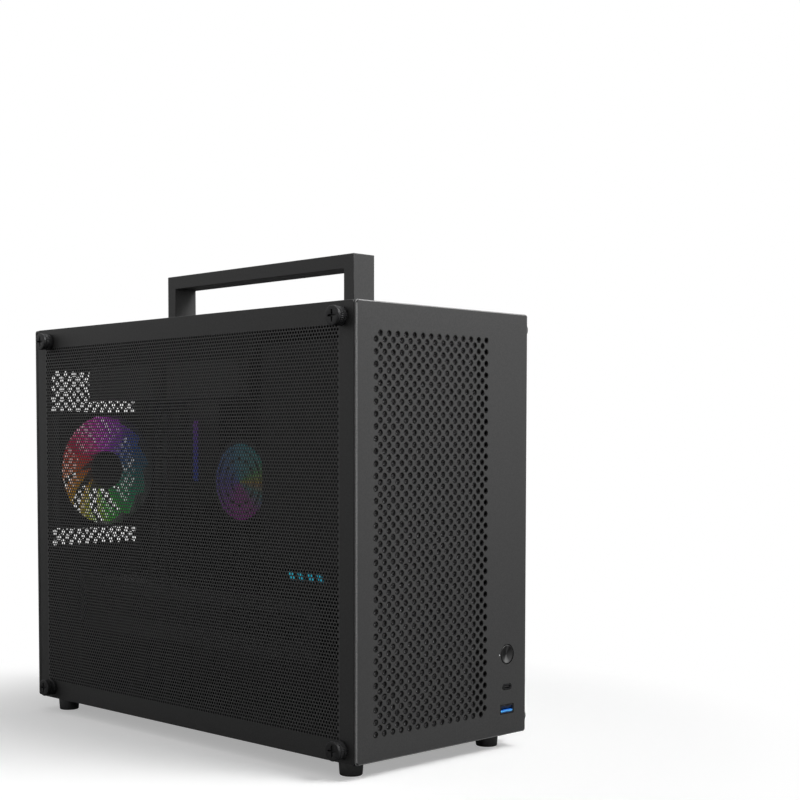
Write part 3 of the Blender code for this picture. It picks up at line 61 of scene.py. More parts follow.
def titled(words):
    return "".join(word.title() for word in words.split("_"))


def lengths(**values):  # lengths given in millimetres
    return {name: np.multiply(value, mm) for name, value in values.items()}


def step(*values):  # a vector given in millimetres
    return np.array(values) * mm


# Planes of the case, read from the frame
(left, front, bottom), (right, frontBack, top) = boxOf("front_panel")
print("frame loaded")


# Shapes as arrays: a shape is (points, [faces of one size, ...])

def stacked(*parts):
    return np.stack(np.broadcast_arrays(*parts), -1)


def circle(count, start=0):
    # (cos a, sin a) at equal steps
    a = start + np.arange(count) * 2 * pi / count
    return np.stack([np.cos(a), np.sin(a)], -1)


def gridQuads(rows, columns, wrapRows=False, wrapColumns=False):
    # the quad of grid cell (i, j) joins (i, j), (i, j+1), (i+1, j+1), (i+1, j)
    i = np.arange(rows if wrapRows else rows - 1)[:, None]
    j = np.arange(columns if wrapColumns else columns - 1)[None, :]
    nextI, nextJ = (i + 1) % rows, (j + 1) % columns
    quads = (i * columns + j, i * columns + nextJ, nextI * columns + nextJ, nextI * columns + j)
    return stacked(*quads).reshape(-1, 4)


def endCaps(rows, columns):
    return [np.arange(columns)[None, ::-1], (np.arange(columns) + (rows - 1) * columns)[None, :]]


def gather(shapes):
    # several shapes as one: each face index moves up by the points before it
    points, faces, start = [], [], 0
    for shapePoints, shapeFaces in shapes:
        points.append(shapePoints)
        faces += [face + start for face in shapeFaces]
        start += len(shapePoints)
    return np.concatenate(points), faces


def moved(shape, turn=np.eye(3), shift=(0, 0, 0)):
    # p' = R p + s
    return shape[0] @ np.asarray(turn, float).T + np.asarray(shift, float), shape[1]


def turnAbout(axis, angle):
    # right-hand turn about x or y
    c, s = cos(angle), sin(angle)
    return np.array({"x": [[1, 0, 0], [0, c, -s], [0, s, c]], "y": [[c, 0, s], [0, 1, 0], [-s, 0, c]]}[axis])


def turnedShape(profile, steps=48, teeth=0):
    # p(i, a) = (R cos a, R sin a, h_i) with R = r_i - d_i (1 - cos n a) / 2: a profile of (r, h), or of (r, h, d)
    # where it has n teeth, turned about z
    profile, around = np.asarray(profile, float), circle(steps)
    r, h = profile[:, :1], profile[:, 1:2]
    if teeth:
        r = r - profile[:, 2:] * (1 - np.cos(teeth * np.arange(steps) * 2 * pi / steps)) / 2
    points = stacked(r * around[:, 0], r * around[:, 1], h)
    return points.reshape(-1, 3), [gridQuads(len(profile), steps, wrapColumns=True)]


def quarterRound(r, h, edge, count=5):
    # a profile's rounded corner, (r - e + e sin a, h - e + e cos a)
    a = np.linspace(0, pi / 2, count)
    return np.stack([r - edge + edge * np.sin(a), h - edge + edge * np.cos(a)], -1)


def roundedBlock(low, high, radius, steps=2):
    # p = m + s (h - r) + r n: a ball of radius r whose eight octants, of signs s, are pulled apart to a box
    low, high = np.asarray(low, float), np.asarray(high, float)
    half, middle = (high - low) / 2, (high + low) / 2
    radius = min(radius, half.min() * 0.98)
    quarter = np.linspace(0, pi / 2, steps + 1)
    around = np.concatenate([quarter + k * pi / 2 for k in range(4)])[None, :]
    rise = np.concatenate([-quarter[::-1], quarter])[:, None]
    n = stacked(np.cos(rise) * np.cos(around), np.cos(rise) * np.sin(around), np.sin(rise))
    x, y, z = (np.repeat(signs, steps + 1) for signs in ([1, -1, -1, 1], [1, 1, -1, -1], [-1, 1]))
    points = middle + stacked(x[None, :], y[None, :], z[:, None]) * (half - radius) + radius * n
    rows, columns = points.shape[:2]
    return points.reshape(-1, 3), [gridQuads(rows, columns, wrapColumns=True), *endCaps(rows, columns)]


def sweptShape(path, sides, profile, closed=False):
    # p(i, k) = P_i + t_k N_i + x_k X_i: a flat profile (x, t) carried along points P with side vectors X and N
    path, profile = np.asarray(path, float), np.asarray(profile, float)
    x, n = (np.broadcast_to(np.asarray(side, float), path.shape) for side in sides)
    points = path[:, None] + profile[None, :, :1] * x[:, None] + profile[None, :, 1:] * n[:, None]
    rows, columns = points.shape[:2]
    caps = [] if closed else endCaps(rows, columns)
    return points.reshape(-1, 3), [gridQuads(rows, columns, closed, True), *caps]


def ringPath(radius, steps=72):
    # (r cos a, r sin a, 0), with its outward side and z
    out = np.insert(circle(steps), 2, 0, 1)
    return radius * out, (out, [0, 0, 1])


def barSection(half, rise):
    return [(-half, -rise), (half, -rise), (half, rise), (-half, rise)]


def roundLoop(centre, radius, count=24):
    # c + r (cos a, sin a)
    return np.asarray(centre) + radius * circle(count)


def cornerLoop(low, high, radius, steps=4):
    # a rectangle whose corners are quarter circles: corner centre + r (cos a, sin a)
    a = np.concatenate([np.linspace(0, pi / 2, steps + 1) + k * pi / 2 for k in range(4)])
    xs = np.repeat([high[0] - radius, low[0] + radius, low[0] + radius, high[0] - radius], steps + 1)
    ys = np.repeat([high[1] - radius, high[1] - radius, low[1] + radius, low[1] + radius], steps + 1)
    return np.stack([xs + radius * np.cos(a), ys + radius * np.sin(a)], -1)


# Perforated sheets

def rowsAndColumns(rows, columns):
    return np.meshgrid(np.arange(rows), np.arange(columns), indexing="ij")


def staggered(first, pitch, rowPitch, rows, columns):
    # hole (r, c) at first + ((c + (r mod 2) / 2) pitch, r rowPitch)
    r, c = (grid.ravel() for grid in rowsAndColumns(rows, columns))
    return np.stack([first[0] + (c + r % 2 / 2) * pitch, first[1] + r * rowPitch], -1)


def ringEdges(holes, sides):
    base, k = np.arange(holes)[:, None] * sides, np.arange(sides)[None, :]
    return np.stack([base + k, base + (k + 1) % sides], -1).reshape(-1, 2)


def squareField(centres, pitch, rowPitch, radius, count):
    # each hole is a ring in a diamond cell with corners (+-pitch/2, 0) and (0, +-rowPitch), which its neighbours share
    ring = centres[:, None] + radius * circle(count)
    tips = centres[:, None] + np.array([[pitch / 2, 0], [0, rowPitch], [-pitch / 2, 0], [0, -rowPitch]])
    grid = np.round(tips.reshape(-1, 2) / 1e-6).astype(np.int64)
    _, firstAt, number = np.unique(grid, axis=0, return_index=True, return_inverse=True)
    number = number.reshape(-1, 4) + len(centres) * count
    points = np.concatenate([ring.reshape(-1, 2), tips.reshape(-1, 2)[firstAt]])
    base, k = np.arange(len(centres))[:, None] * count, np.arange(count)[None, :]
    nearTip = ((k + count // 8) // (count // 4)) % 4
    tip = np.take_along_axis(number, np.broadcast_to(nearTip, (len(centres), count)), 1)
    fans = np.stack([base + (k + 1) % count, base + k, tip], -1).reshape(-1, 3)
    meet = base + np.arange(4)[None, :] * (count // 4) + count // 8
    gaps = np.stack([meet, number, np.roll(number, -1, 1)], -1).reshape(-1, 3)
    return points, [np.concatenate([fans, gaps])], ringEdges(len(centres), count)


def hexField(start, pitch, columns, rows, radius, firstRow=0):
    # hexagonal holes on a triangular grid. Sides that face each other are joined by a quad,
    # and three corners that meet by a triangle
    r, c = rowsAndColumns(rows, columns)
    odd = (r + firstRow) % 2
    centres = np.stack([start[0] + (c + odd / 2) * pitch, start[1] + (r + firstRow) * pitch * sqrt(3) / 2], -1)
    points = centres[:, :, None] + radius * circle(6, pi / 6)
    upRight, upLeft = c + odd, c - 1 + odd
    beside, above = c < columns - 1, r < rows - 1
    hasRight, hasLeft = above & (upRight < columns), above & (upLeft >= 0)
    here, beyond, over, overLeft = (
        (row * columns + column) * 6 for row, column in ((r, c), (r, c + 1), (r + 1, upRight), (r + 1, upLeft)))

    def joined(pick, *corners):
        return np.stack([(hole + k)[pick] for hole, k in corners], -1)

    quads = [joined(beside, (here, 0), (here, 5), (beyond, 3), (beyond, 2)),
             joined(hasRight, (here, 1), (here, 0), (over, 4), (over, 3)),
             joined(hasLeft, (here, 2), (here, 1), (overLeft, 5), (overLeft, 4))]
    triangles = [joined(beside & hasRight, (here, 0), (beyond, 2), (over, 4)),
                 joined(hasRight & hasLeft, (here, 1), (over, 3), (overLeft, 5))]
    return points.reshape(-1, 2), [np.concatenate(quads), np.concatenate(triangles)], ringEdges(rows * columns, 6)


def edgesOf(faces):
    sides = [np.stack([face, np.roll(face, -1, 1)], -1).reshape(-1, 2) for face in faces]
    return np.concatenate([np.zeros((0, 2), int), *sides])


def withMargin(loops, points=np.zeros((0, 2)), faces=(), rings=np.zeros((0, 2), int)):
    # fills the sheet between the outermost holes and the loops round them with triangles
    size = len(points) + sum(len(loop) for loop in loops)
    key = lambda pairs: np.sort(pairs, 1) @ np.array([size, 1])
    ringKeys = key(rings)
    found, counts = np.unique(key(edgesOf(faces)), return_counts=True)
    bare = found[(counts == 1) & ~np.isin(found, ringKeys)]
    border = np.concatenate([bare, ringKeys[~np.isin(ringKeys, found)]])
    edges, start = [np.stack([border // size, border % size], -1)], len(points)
    for loop in loops:
        index = np.arange(len(loop)) + start
        edges.append(np.stack([index, np.roll(index, -1)], -1))
        start += len(loop)
    allPoints, edges = np.concatenate([points, *loops]), np.concatenate(edges)
    used, small = np.unique(edges, return_inverse=True)
    net = bpy.data.meshes.new("net")
    net.from_pydata(np.insert(allPoints[used], 2, 0, 1).tolist(), small.reshape(-1, 2).tolist(), [])
    work = bmesh.new()
    work.from_mesh(net)
    bmesh.ops.triangle_fill(work, use_beauty=True, use_dissolve=False, edges=work.edges)
    work.to_mesh(net)
    work.free()
    corners = np.zeros(len(net.loops), np.int32)
    net.loops.foreach_get("vertex_index", corners)
    bpy.data.meshes.remove(net)
    filled = used[corners.reshape(-1, 3)]
    a, b, c = (allPoints[filled[:, k]] for k in range(3))
    area = (b - a)[:, 0] * (c - a)[:, 1] - (b - a)[:, 1] * (c - a)[:, 0]
    filled[area < 0] = filled[area < 0][:, ::-1]
    return allPoints, [*faces, filled]


def sheetFrom(points, faces, thickness, place, edge=None, steps=0, rise=None):
    # front copy, rim rows at p + e sin(t) n and depth d (1 - cos t), and a back copy at the sheet's thickness.
    # n points from the metal into the opening, e and d are the width and depth of each point's edge
    pairs, count = edgesOf(faces), len(points)
    bare = pairs[~np.isin(pairs @ np.array([count, 1]), pairs[:, ::-1] @ np.array([count, 1]))]
    along = points[bare[:, 1]] - points[bare[:, 0]]
    away = np.stack([along[:, 1], -along[:, 0]], -1) / np.linalg.norm(along, axis=1)[:, None]
    total = np.zeros((count, 2))
    np.add.at(total, bare[:, 0], away)
    np.add.at(total, bare[:, 1], away)
    normal = total / np.maximum((total**2).sum(1) / 2, 1e-9)[:, None]
    edge = np.zeros(count) if edge is None else edge
    rise = edge if rise is None else rise
    rim = np.unique(bare)
    slotOf = np.zeros(count, int)
    slotOf[rim] = np.arange(len(rim))
    spread, layers, walls = points, [place(points[:, 0], points[:, 1], 0 * points[:, 0])], []
    before, start = np.arange(count), count

    def wall(after):
        return np.stack([before[bare[:, 1]], before[bare[:, 0]], after[bare[:, 0]], after[bare[:, 1]]], -1)

    for t in np.linspace(0, pi / 2, steps + 1)[1:]:
        spread = points + (edge * sin(t))[:, None] * normal
        layers.append(place(spread[rim, 0], spread[rim, 1], rise[rim] * (1 - cos(t))))
        walls.append(wall(slotOf + start))
        before, start = slotOf + start, start + len(rim)
    back = points.copy()
    back[rim] = spread[rim]
    layers.append(place(back[:, 0], back[:, 1], thickness + np.zeros(count)))
    walls.append(wall(np.arange(count) + start))
    return np.concatenate(layers), [*faces, *[face[:, ::-1] + start for face in faces], np.concatenate(walls)]


def plateShape(loops, thickness, edges, steps=3):
    # a flat plate in X and Y, its front at z = 0 and its back at -thickness. The first loop is the outline
    points, faces = withMargin(loops)
    edge = np.concatenate([np.full(len(loop), value) for loop, value in zip(loops, edges)])
    return sheetFrom(points, faces, thickness, lambda a, b, d: np.stack([a, b, -d], -1), edge, steps)


# Pieces

finishes = {}


def makePiece(name, shape, finish, stands=(), body="case", crease=35, walls=None):
    # shape to mesh: doubles merged, faces outwards, smooth below the crease angle.
    # The last array of faces, a sheet's walls, may have finishes of its own
    points, faces = shape
    mesh = bpy.data.meshes.new(name)
    mesh.vertices.add(len(points))
    mesh.vertices.foreach_set("co", np.asarray(points, np.float32).ravel())
    corners = np.concatenate([face.ravel() for face in faces])
    sizes = np.concatenate([np.full(len(face), face.shape[1]) for face in faces])
    mesh.loops.add(len(corners))
    mesh.loops.foreach_set("vertex_index", corners.astype(np.int32))
    mesh.polygons.add(len(sizes))
    mesh.polygons.foreach_set("loop_start", (np.cumsum(sizes) - sizes).astype(np.int32))
    if walls is not None:
        picks = np.zeros(len(sizes), np.int32)
        picks[-len(faces[-1]):] = walls
        mesh.polygons.foreach_set("material_index", picks)
    mesh.update(calc_edges=True)
    work = bmesh.new()
    work.from_mesh(mesh)
    bmesh.ops.remove_doubles(work, verts=work.verts, dist=2e-6)
    bmesh.ops.recalc_face_normals(work, faces=work.faces)
    work.to_mesh(mesh)
    work.free()
    mesh.validate()
    mesh.polygons.foreach_set("use_smooth", np.ones(len(mesh.polygons), bool))
    mesh.set_sharp_from_angle(angle=radians(crease))
    for used in finish.split():
        mesh.materials.append(finishes[used])
    piece = bpy.data.objects.new(name, mesh)
    scene.collection.objects.link(piece)
    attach(piece, body)
    if stands:
        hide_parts(*stands)
    return piece


def flatten(piece):
    # large flat faces keep their own direction where they meet a rounded edge
    piece.modifiers.new("flatFaces", "WEIGHTED_NORMAL").keep_sharp = True


# Finishes

def grey(shade, blue=None):
    return (shade, shade, blue or shade)


def newFinish(name, settings):
    made = finishes[name] = bpy.data.materials.new(name)
    made.use_nodes = True
    shader = made.node_tree.nodes["Principled BSDF"]
    for socket, value in settings.items():
        shader.inputs[socket].default_value = value
    return made.node_tree, shader


def add(tree, kind, inputs, **settings):
    # a node whose inputs are each a value or a socket to link
    node = tree.nodes.new(kind)
    for name, value in settings.items():
        setattr(node, name, value)
    for name, value in inputs.items():
        if isinstance(value, bpy.types.NodeSocket):
            tree.links.new(value, node.inputs[name])
        else:
            node.inputs[name].default_value = value
    return node


def objectPlace(tree):
    return add(tree, "ShaderNodeTexCoord", {}).outputs["Object"]


def ranged(tree, value, names, low, high, **settings):
    # a Map Range node with its From or its To limits set
    inputs = {"Value": value, names + " Min": low, names + " Max": high}
    return add(tree, "ShaderNodeMapRange", inputs, **settings).outputs["Result"]


def combined(tree, operation, a, b):
    return add(tree, "ShaderNodeMath", {0: a, 1: b}, operation=operation).outputs[0]


def ramped(tree, factor, stops, socket):
    # a colour ramp of (position, colour) stops into a shader socket
    ramp = add(tree, "ShaderNodeValToRGB", {"Fac": factor})
    band = ramp.color_ramp
    while len(band.elements) < len(stops):
        band.elements.new(0.5)
    for element, (position, colour) in zip(band.elements, stops):
        element.position, element.color = position, (*colour, 1)
    tree.links.new(ramp.outputs["Color"], socket)


def noised(tree, scale, detail):
    inputs = {"Vector": objectPlace(tree), "Scale": scale, "Detail": detail}
    return add(tree, "ShaderNodeTexNoise", inputs).outputs["Fac"]


def bumped(tree, shader, height, strength, distance):
    bump = add(tree, "ShaderNodeBump", {"Height": height, "Strength": strength, "Distance": distance})
    tree.links.new(bump.outputs["Normal"], shader.inputs["Normal"])


def speckledFinish(name, dark, light, scale, roughness, metallic=0.0, grain=0.0, gloss=0.5):
    # colour between dark and light by a noise of that scale, which also lifts the surface where it has a grain
    tree, shader = newFinish(name, {"Roughness": roughness, "Metallic": metallic, "Specular IOR Level": gloss})
    noise = noised(tree, scale, 3.0)
    ramped(tree, noise, [(0.35, dark), (0.65, light)], shader.inputs["Base Color"])
    if grain:
        bumped(tree, shader, noise, grain, 0.00005)
    return tree, shader


def powderCoat(name, dark, light, roughness, gloss=0.25):
    # fine orange-peel grain of a powder coat
    tree, shader = speckledFinish(name, dark, light, 900, roughness, gloss=gloss)
    bumped(tree, shader, noised(tree, 2600.0, 2.0), 0.25, 0.00006)


def wovenMesh(name, pitch, dark, light, axes=("X", "Z")):
    # two sets of threads at right angles, each a wave in the object's own coordinates
    tree, shader = newFinish(name, {"Roughness": 0.75})
    place, scale = objectPlace(tree), 2 * pi / 20 / pitch
    threads = [add(tree, "ShaderNodeTexWave", {"Vector": place, "Scale": scale, "Distortion": 0.0},
                   bands_direction=axis).outputs["Fac"] for axis in axes]
    both = combined(tree, "MAXIMUM", *threads)
    ramped(tree, both, [(0.62, dark), (0.86, light)], shader.inputs["Base Color"])
    bumped(tree, shader, both, 0.6, 0.0002)


def along(axis, low, high):
    # 0 at low and 1 at high along one axis of the object's own coordinates
    def share(tree):
        apart = add(tree, "ShaderNodeSeparateXYZ", {0: objectPlace(tree)})
        return ranged(tree, apart.outputs[axis], "From", low, high)
    return share


def around(centre, axes):
    # 0 to 1 by the angle round a centre
    def share(tree):
        inputs = {"Vector": objectPlace(tree), "Location": [-c for c in centre]}
        apart = add(tree, "ShaderNodeSeparateXYZ", {0: add(tree, "ShaderNodeMapping", inputs).outputs["Vector"]})
        angle = combined(tree, "ARCTAN2", *[apart.outputs[axis] for axis in axes])
        return ranged(tree, angle, "From", -pi, pi)
    return share


def turnedPaintedHighlight(name, share, roughness, stops):
    # a turned metal face with fine grain; lighter and darker sectors round its centre are a painted highlight
    tree, shader = newFinish(name, {"Roughness": roughness, "Metallic": 0.9})
    ramped(tree, share(tree), stops, shader.inputs["Base Color"])
    bumped(tree, shader, noised(tree, 3000.0, 1.0), 0.1, 0.00003)


def printedBoard(name):
    # dark solder mask with a faint grid of tracks
    tree, shader = newFinish(name, {"Roughness": 0.42})
    tracks = add(tree, "ShaderNodeTexVoronoi", {"Vector": objectPlace(tree), "Scale": 160.0},
                 feature="DISTANCE_TO_EDGE", distance="MANHATTAN").outputs["Distance"]
    stops = [(0.04, (0.022, 0.025, 0.028)), (0.12, (0.010, 0.011, 0.013))]
    ramped(tree, tracks, stops, shader.inputs["Base Color"])
    bumped(tree, shader, tracks, 0.2, 0.0001)


def glowing(name, dark, roughness, strength, share, stops, alpha=1.0):
    # a lit diffuser whose colour follows a share of 0 to 1
    tree, shader = newFinish(name, {
        "Roughness": roughness, "Base Color": (*dark, 1), "Emission Strength": strength, "Alpha": alpha})
    ramped(tree, share(tree), stops, shader.inputs["Emission Color"])


# each coat: darkest and lightest colour, roughness, gloss
powderCoat("caseCoat", grey(0.048), grey(0.058), 0.52)
# the left side panel's border: a darker copy of the case coat, painted shade for the side turned from the lamps
powderCoat("sideCoat", grey(0.040), grey(0.049), 0.52)
powderCoat("meshCoat", grey(0.070), grey(0.080), 0.55)
# the front panel's rounded outer edge: a lighter copy of the case coat, a painted highlight
powderCoat("edgeCoat", grey(0.200), grey(0.270), 0.35, 0.5)
# walls and rims of holes: painted black as the shade inside them
powderCoat("holeBlack", grey(0.003), grey(0.006), 0.7, 0.1)
powderCoat("innerCoat", grey(0.007, 0.0075), grey(0.012, 0.0125), 0.55)
powderCoat("supplyCoat", grey(0.016, 0.017), grey(0.024, 0.025), 0.5)
# darkest and lightest colour, scale, roughness, metallic
speckledFinish("blackPlastic", grey(0.010, 0.011), grey(0.018, 0.019), 700, 0.42, grain=0.15)
speckledFinish("footRubber", grey(0.028), grey(0.040), 500, 0.5, grain=0.4)
speckledFinish("screwBlack", grey(0.018, 0.019), grey(0.032, 0.033), 1200, 0.45, 0.1, grain=0.1, gloss=0.2)
speckledFinish("plainSteel", (0.48, 0.49, 0.50), (0.60, 0.61, 0.62), 400, 0.3, 1.0)
speckledFinish("darkSocket", grey(0.035, 0.037), grey(0.055, 0.058), 900, 0.4, 0.6)
speckledFinish("finMetal", grey(0.020, 0.021), grey(0.035, 0.036), 300, 0.4, 0.5)
speckledFinish("heatSinkGrey", (0.035, 0.036, 0.038), (0.055, 0.056, 0.058), 500, 0.4, 0.6)
# the socket's tongue: blue plastic darkened as painted shade
speckledFinish("tongueBlue", (0.003, 0.012, 0.050), (0.004, 0.018, 0.070), 600, 0.4)
speckledFinish("linerBlue", (0.005, 0.130, 0.700), (0.008, 0.180, 0.850), 600, 0.35)
# the socket's front lip: a lighter copy of the blue plastic, a painted highlight
speckledFinish("lipBlue", (0.080, 0.450, 0.950), (0.120, 0.550, 1.000), 600, 0.3)
speckledFinish("smokeBlade", grey(0.020, 0.022), grey(0.032, 0.034), 250, 0.3)
speckledFinish("canSteel", grey(0.20, 0.21), grey(0.27, 0.28), 350, 0.42, 1.0)
speckledFinish("capBlack", grey(0.020, 0.022), grey(0.034, 0.036), 350, 0.4, 0.4)
wovenMesh("filterWeave", 0.6 * mm, grey(0.36), grey(0.60, 0.605))
wovenMesh("fineMesh", 1.1 * mm, grey(0.004), grey(0.020), ("X", "Y"))
printedBoard("boardBlack")
# the power button: lighter sectors painted as the highlight of a turned face
turnedPaintedHighlight("turnedMetal", around(middleOf("power_button"), ("Z", "X")), 0.38, [(at, grey(shade)) for at, shade in (
    (0.0, 0.035), (0.12, 0.05), (0.20, 0.20), (0.27, 0.16), (0.34, 0.06), (0.52, 0.07), (0.66, 0.04), (0.74, 0.15),
    (0.80, 0.05), (1.0, 0.035))])
glowing("whiteGlow", grey(0.10), 0.35, 0.55, along("Y", front, front + 1.2 * mm), [
    (0.0, (0.95, 0.97, 1.0)), (0.4, (0.95, 0.97, 1.0)), (1.0, grey(0.0))])
glowing("litBlades", grey(0.14, 0.15), 0.45, 0.37, around(middleOf("rear_fan_frame"), ("Z", "X")), [
    (0.00, (1.0, 0.16, 0.01)), (0.10, (1.0, 0.45, 0.01)), (0.20, (0.75, 0.75, 0.02)), (0.28, (0.10, 0.80, 0.05)),
    (0.40, (0.01, 0.35, 0.15)), (0.50, (0.01, 0.12, 0.16)), (0.62, (0.03, 0.06, 0.40)), (0.74, (0.70, 0.03, 0.80)),
    (0.84, (0.95, 0.02, 0.35)), (0.93, (1.0, 0.02, 0.03)), (1.0, (1.0, 0.16, 0.01))], alpha=0.45)
glowing("pumpGlow", grey(0.14, 0.15), 0.45, 0.10, around(middleOf("pump_light"), ("Z", "Y")), [
    (0.0, (0.90, 0.40, 0.02)), (0.06, (0.02, 0.45, 0.45)), (0.15, (0.70, 0.03, 0.65)), (0.30, (0.75, 0.02, 0.75)),
    (0.42, (0.35, 0.05, 0.85)), (0.52, (0.08, 0.10, 0.90)), (0.64, (0.02, 0.35, 0.85)), (0.78, (0.02, 0.65, 0.80)),
    (0.90, (0.02, 0.55, 0.50)), (0.95, (0.15, 0.75, 0.10)), (1.0, (0.90, 0.70, 0.02))])
glowing("boardGlow", (0.05, 0.08, 0.05), 0.35, 0.35, along("Y", 18 * mm, 84 * mm), [
    (0.0, (0.02, 0.55, 0.10)), (1.0, (0.05, 0.80, 0.25))])
glowing("coverGlow", grey(0.05, 0.06), 0.35, 0.15, along("Z", 181 * mm, 231 * mm), [
    (0.0, (0.02, 0.12, 0.95)), (0.45, (0.12, 0.10, 0.95)), (1.0, (0.45, 0.05, 0.90))])
glowing("dashGlow", (0.05, 0.10, 0.12), 0.35, 0.40, along("Y", -0.14, -0.09), [
    (0.0, (0.02, 0.60, 0.90)), (1.0, (0.03, 0.72, 0.95))])
print("finishes ready")


# Front panel: 66 staggered rows of round holes, and the openings of the controls

frontValues = {"rows": 66, "columns": 14, "holeSides": 24, **lengths(
    pitch=7.74, rowPitch=3.886, holeRadius=2.1, firstHole=(17.18, 17.6), holeEdge=0.8, holeDepth=0.25,
    fieldThickness=0.5, outerEdge=0.8, cornerRadius=2.2, openingEdge=0.3, buttonHole=7.0, lightHole=0.78,
    socketRoom=0.48, socketCorners=(2.05, 0.5))}


def frontPanel(rows, columns, holeSides, pitch, rowPitch, holeRadius, firstHole, holeEdge, holeDepth,
               fieldThickness, outerEdge, cornerRadius, openingEdge, buttonHole, lightHole, socketRoom, socketCorners):
    # a sheet with staggered holes, each with a sloping rim and thinner metal behind it
    centres = staggered((left + firstHole[0], bottom + firstHole[1]), pitch, rowPitch, rows, columns)
    field, faces, rings = squareField(centres, pitch, rowPitch, holeRadius, holeSides)
    low, high = np.array([left, bottom]) + outerEdge, np.array([right, top]) - outerEdge
    loops = [cornerLoop(low, high, cornerRadius - outerEdge, 5), roundLoop(middleOf("power_button")[::2], buttonHole, 48),
             roundLoop(middleOf("status_light_pipe")[::2], lightHole, 12)]
    for name, radius in zip(("usb_c_port", "usb_a_port"), socketCorners):
        low, high = boxOf(name)
        loops.append(cornerLoop(low[::2] - socketRoom, high[::2] + socketRoom, radius, 5))
    points, faces = withMargin(loops, field, faces, rings)
    holes, outline = len(field), len(field) + len(loops[0])
    edge, depth = np.full(len(points), openingEdge), np.full(len(points), frontBack - front)
    edge[:holes], edge[holes:outline] = holeEdge, outerEdge
    rise = edge.copy()
    rise[:holes], depth[:holes] = holeDepth, fieldThickness
    shape = sheetFrom(points, faces, depth, lambda a, b, d: np.stack([a, front + d, b], -1), edge, 2, rise)
    # the holes' walls and rims are painted black as shade, and the outer edge is painted lighter as a highlight
    x, z, near = shape[0][:, 0], shape[0][:, 2], 1.05 * outerEdge
    onOutline = (np.abs(x) > right - near) | (z > top - near) | (z < bottom + near)
    walls = np.where(onOutline[shape[1][-1]].all(1), 2, 1)
    flatten(makePiece("frontPanel", shape, "caseCoat holeBlack edgeCoat", ["front_panel"], crease=50, walls=walls))


frontPanel(**frontValues)
print("front panel made")


# Mesh side panel: staggered rows of fine holes, in three bands inside a plain border

meshValues = {"columns": 128, "bands": (0, 39, 78, 116), **lengths(
    pitch=2.605, holeRadius=1.0, meshThickness=0.4, firstHole=(16.75, 15.15), room=1.6, edge=0.35, cornerRadius=2.0,
    screwHole=2.0)}


def screwCentres(side):
    return [middleOf(name)[1:] for name in nodesNamed("thumb_screw_" + side)]


def meshPanel(columns, bands, pitch, holeRadius, meshThickness, firstHole, room, edge, cornerRadius, screwHole):
    # each band is a hexField cut half a row past its holes, and the border is a plate round all three
    low, high = boxOf("mesh_side_panel")
    place = lambda a, b, d: np.stack([left + d, a, b], -1)
    start = (front + firstHole[0], bottom + firstHole[1])
    y0, y1 = start[0] - room, start[0] + (columns - 0.5) * pitch + room
    cuts = [start[1] + (row - 0.5) * pitch * sqrt(3) / 2 for row in bands]
    window = lambda z0, z1: np.array([[y0, z0], [y1, z0], [y1, z1], [y0, z1]])
    for name, first, last, z0, z1 in zip(("Low", "Middle", "Top"), bands, bands[1:], cuts, cuts[1:]):
        field = hexField(start, pitch, columns, last - first, holeRadius, first)
        shape = sheetFrom(*withMargin([window(z0, z1)], *field), meshThickness, place)
        # the walls of the holes are painted black as the shade inside them
        makePiece("meshPanel" + name, shape, "meshCoat holeBlack", ["mesh_side_panel"], crease=20, walls=1)
    outline = cornerLoop((low[1] + edge, bottom + edge), (high[1] - edge, top - edge), cornerRadius, 5)
    screws = [roundLoop(centre, screwHole, 12) for centre in screwCentres("left")]
    points, faces = withMargin([outline, window(cuts[0], cuts[-1]), *screws])
    edges = np.where(np.arange(len(points)) < len(outline), edge, 0)
    shape = sheetFrom(points, faces, high[0] - low[0], place, edges, 2)
    # its coat is the case coat darkened as painted shade
    flatten(makePiece("meshPanelBorder", shape, "sideCoat", ["mesh_side_panel"]))


meshPanel(**meshValues)
print("mesh panel made")


# Handle

handleValues = lengths(bar=10, edge=0.5)


def handle(bar, edge):
    # a flat bar's rectangle carried up, across and down, mitred at both corners
    low, high = boxOf("handle")
    y0, y1, z0, z1 = low[1] + bar / 2, high[1] - bar / 2, low[2], high[2] - bar / 2
    path = [[0, y0, z0], [0, y0, z1], [0, y1, z1], [0, y1, z0]]
    inward = [[0, 1, 0], [0, 1, -1], [0, -1, -1], [0, -1, 0]]
    shape = sweptShape(path, ([1, 0, 0], inward), barSection(high[0], bar / 2))
    bevel = makePiece("handle", shape, "caseCoat", ["handle"]).modifiers.new("softEdges", "BEVEL")
    bevel.width, bevel.segments, bevel.harden_normals = edge, 2, False
    bevel.limit_method, bevel.angle_limit = "ANGLE", radians(40)


handle(**handleValues)
print("handle made")


# Thumb screws: grooved, knurled barrels with a crossed recess

screwValues = {"knurls": 30, "steps": 120, **lengths(
    headRadius=6.35, headThickness=1.9, headEdge=0.55, barrel=6.15, groove=5.35, chamfer=0.2, neck=(0.3, 0.5, 0.8, 1),
    shankRadius=1.75, shank=5, knurlDepth=0.28, crossReach=3.9, crossWidth=0.85, crossEdge=0.12, seat=0.3)}


def crossLoop(reach, half):
    # a plus sign: twelve corners, each arm a little narrower at its tip
    arm = np.array([[half, half], [reach, half * 0.8], [reach, -half * 0.8]])
    quarter = np.array([[0, 1], [-1, 0]])
    return np.concatenate([arm[::-1] @ np.linalg.matrix_power(quarter, k) for k in range(4)])


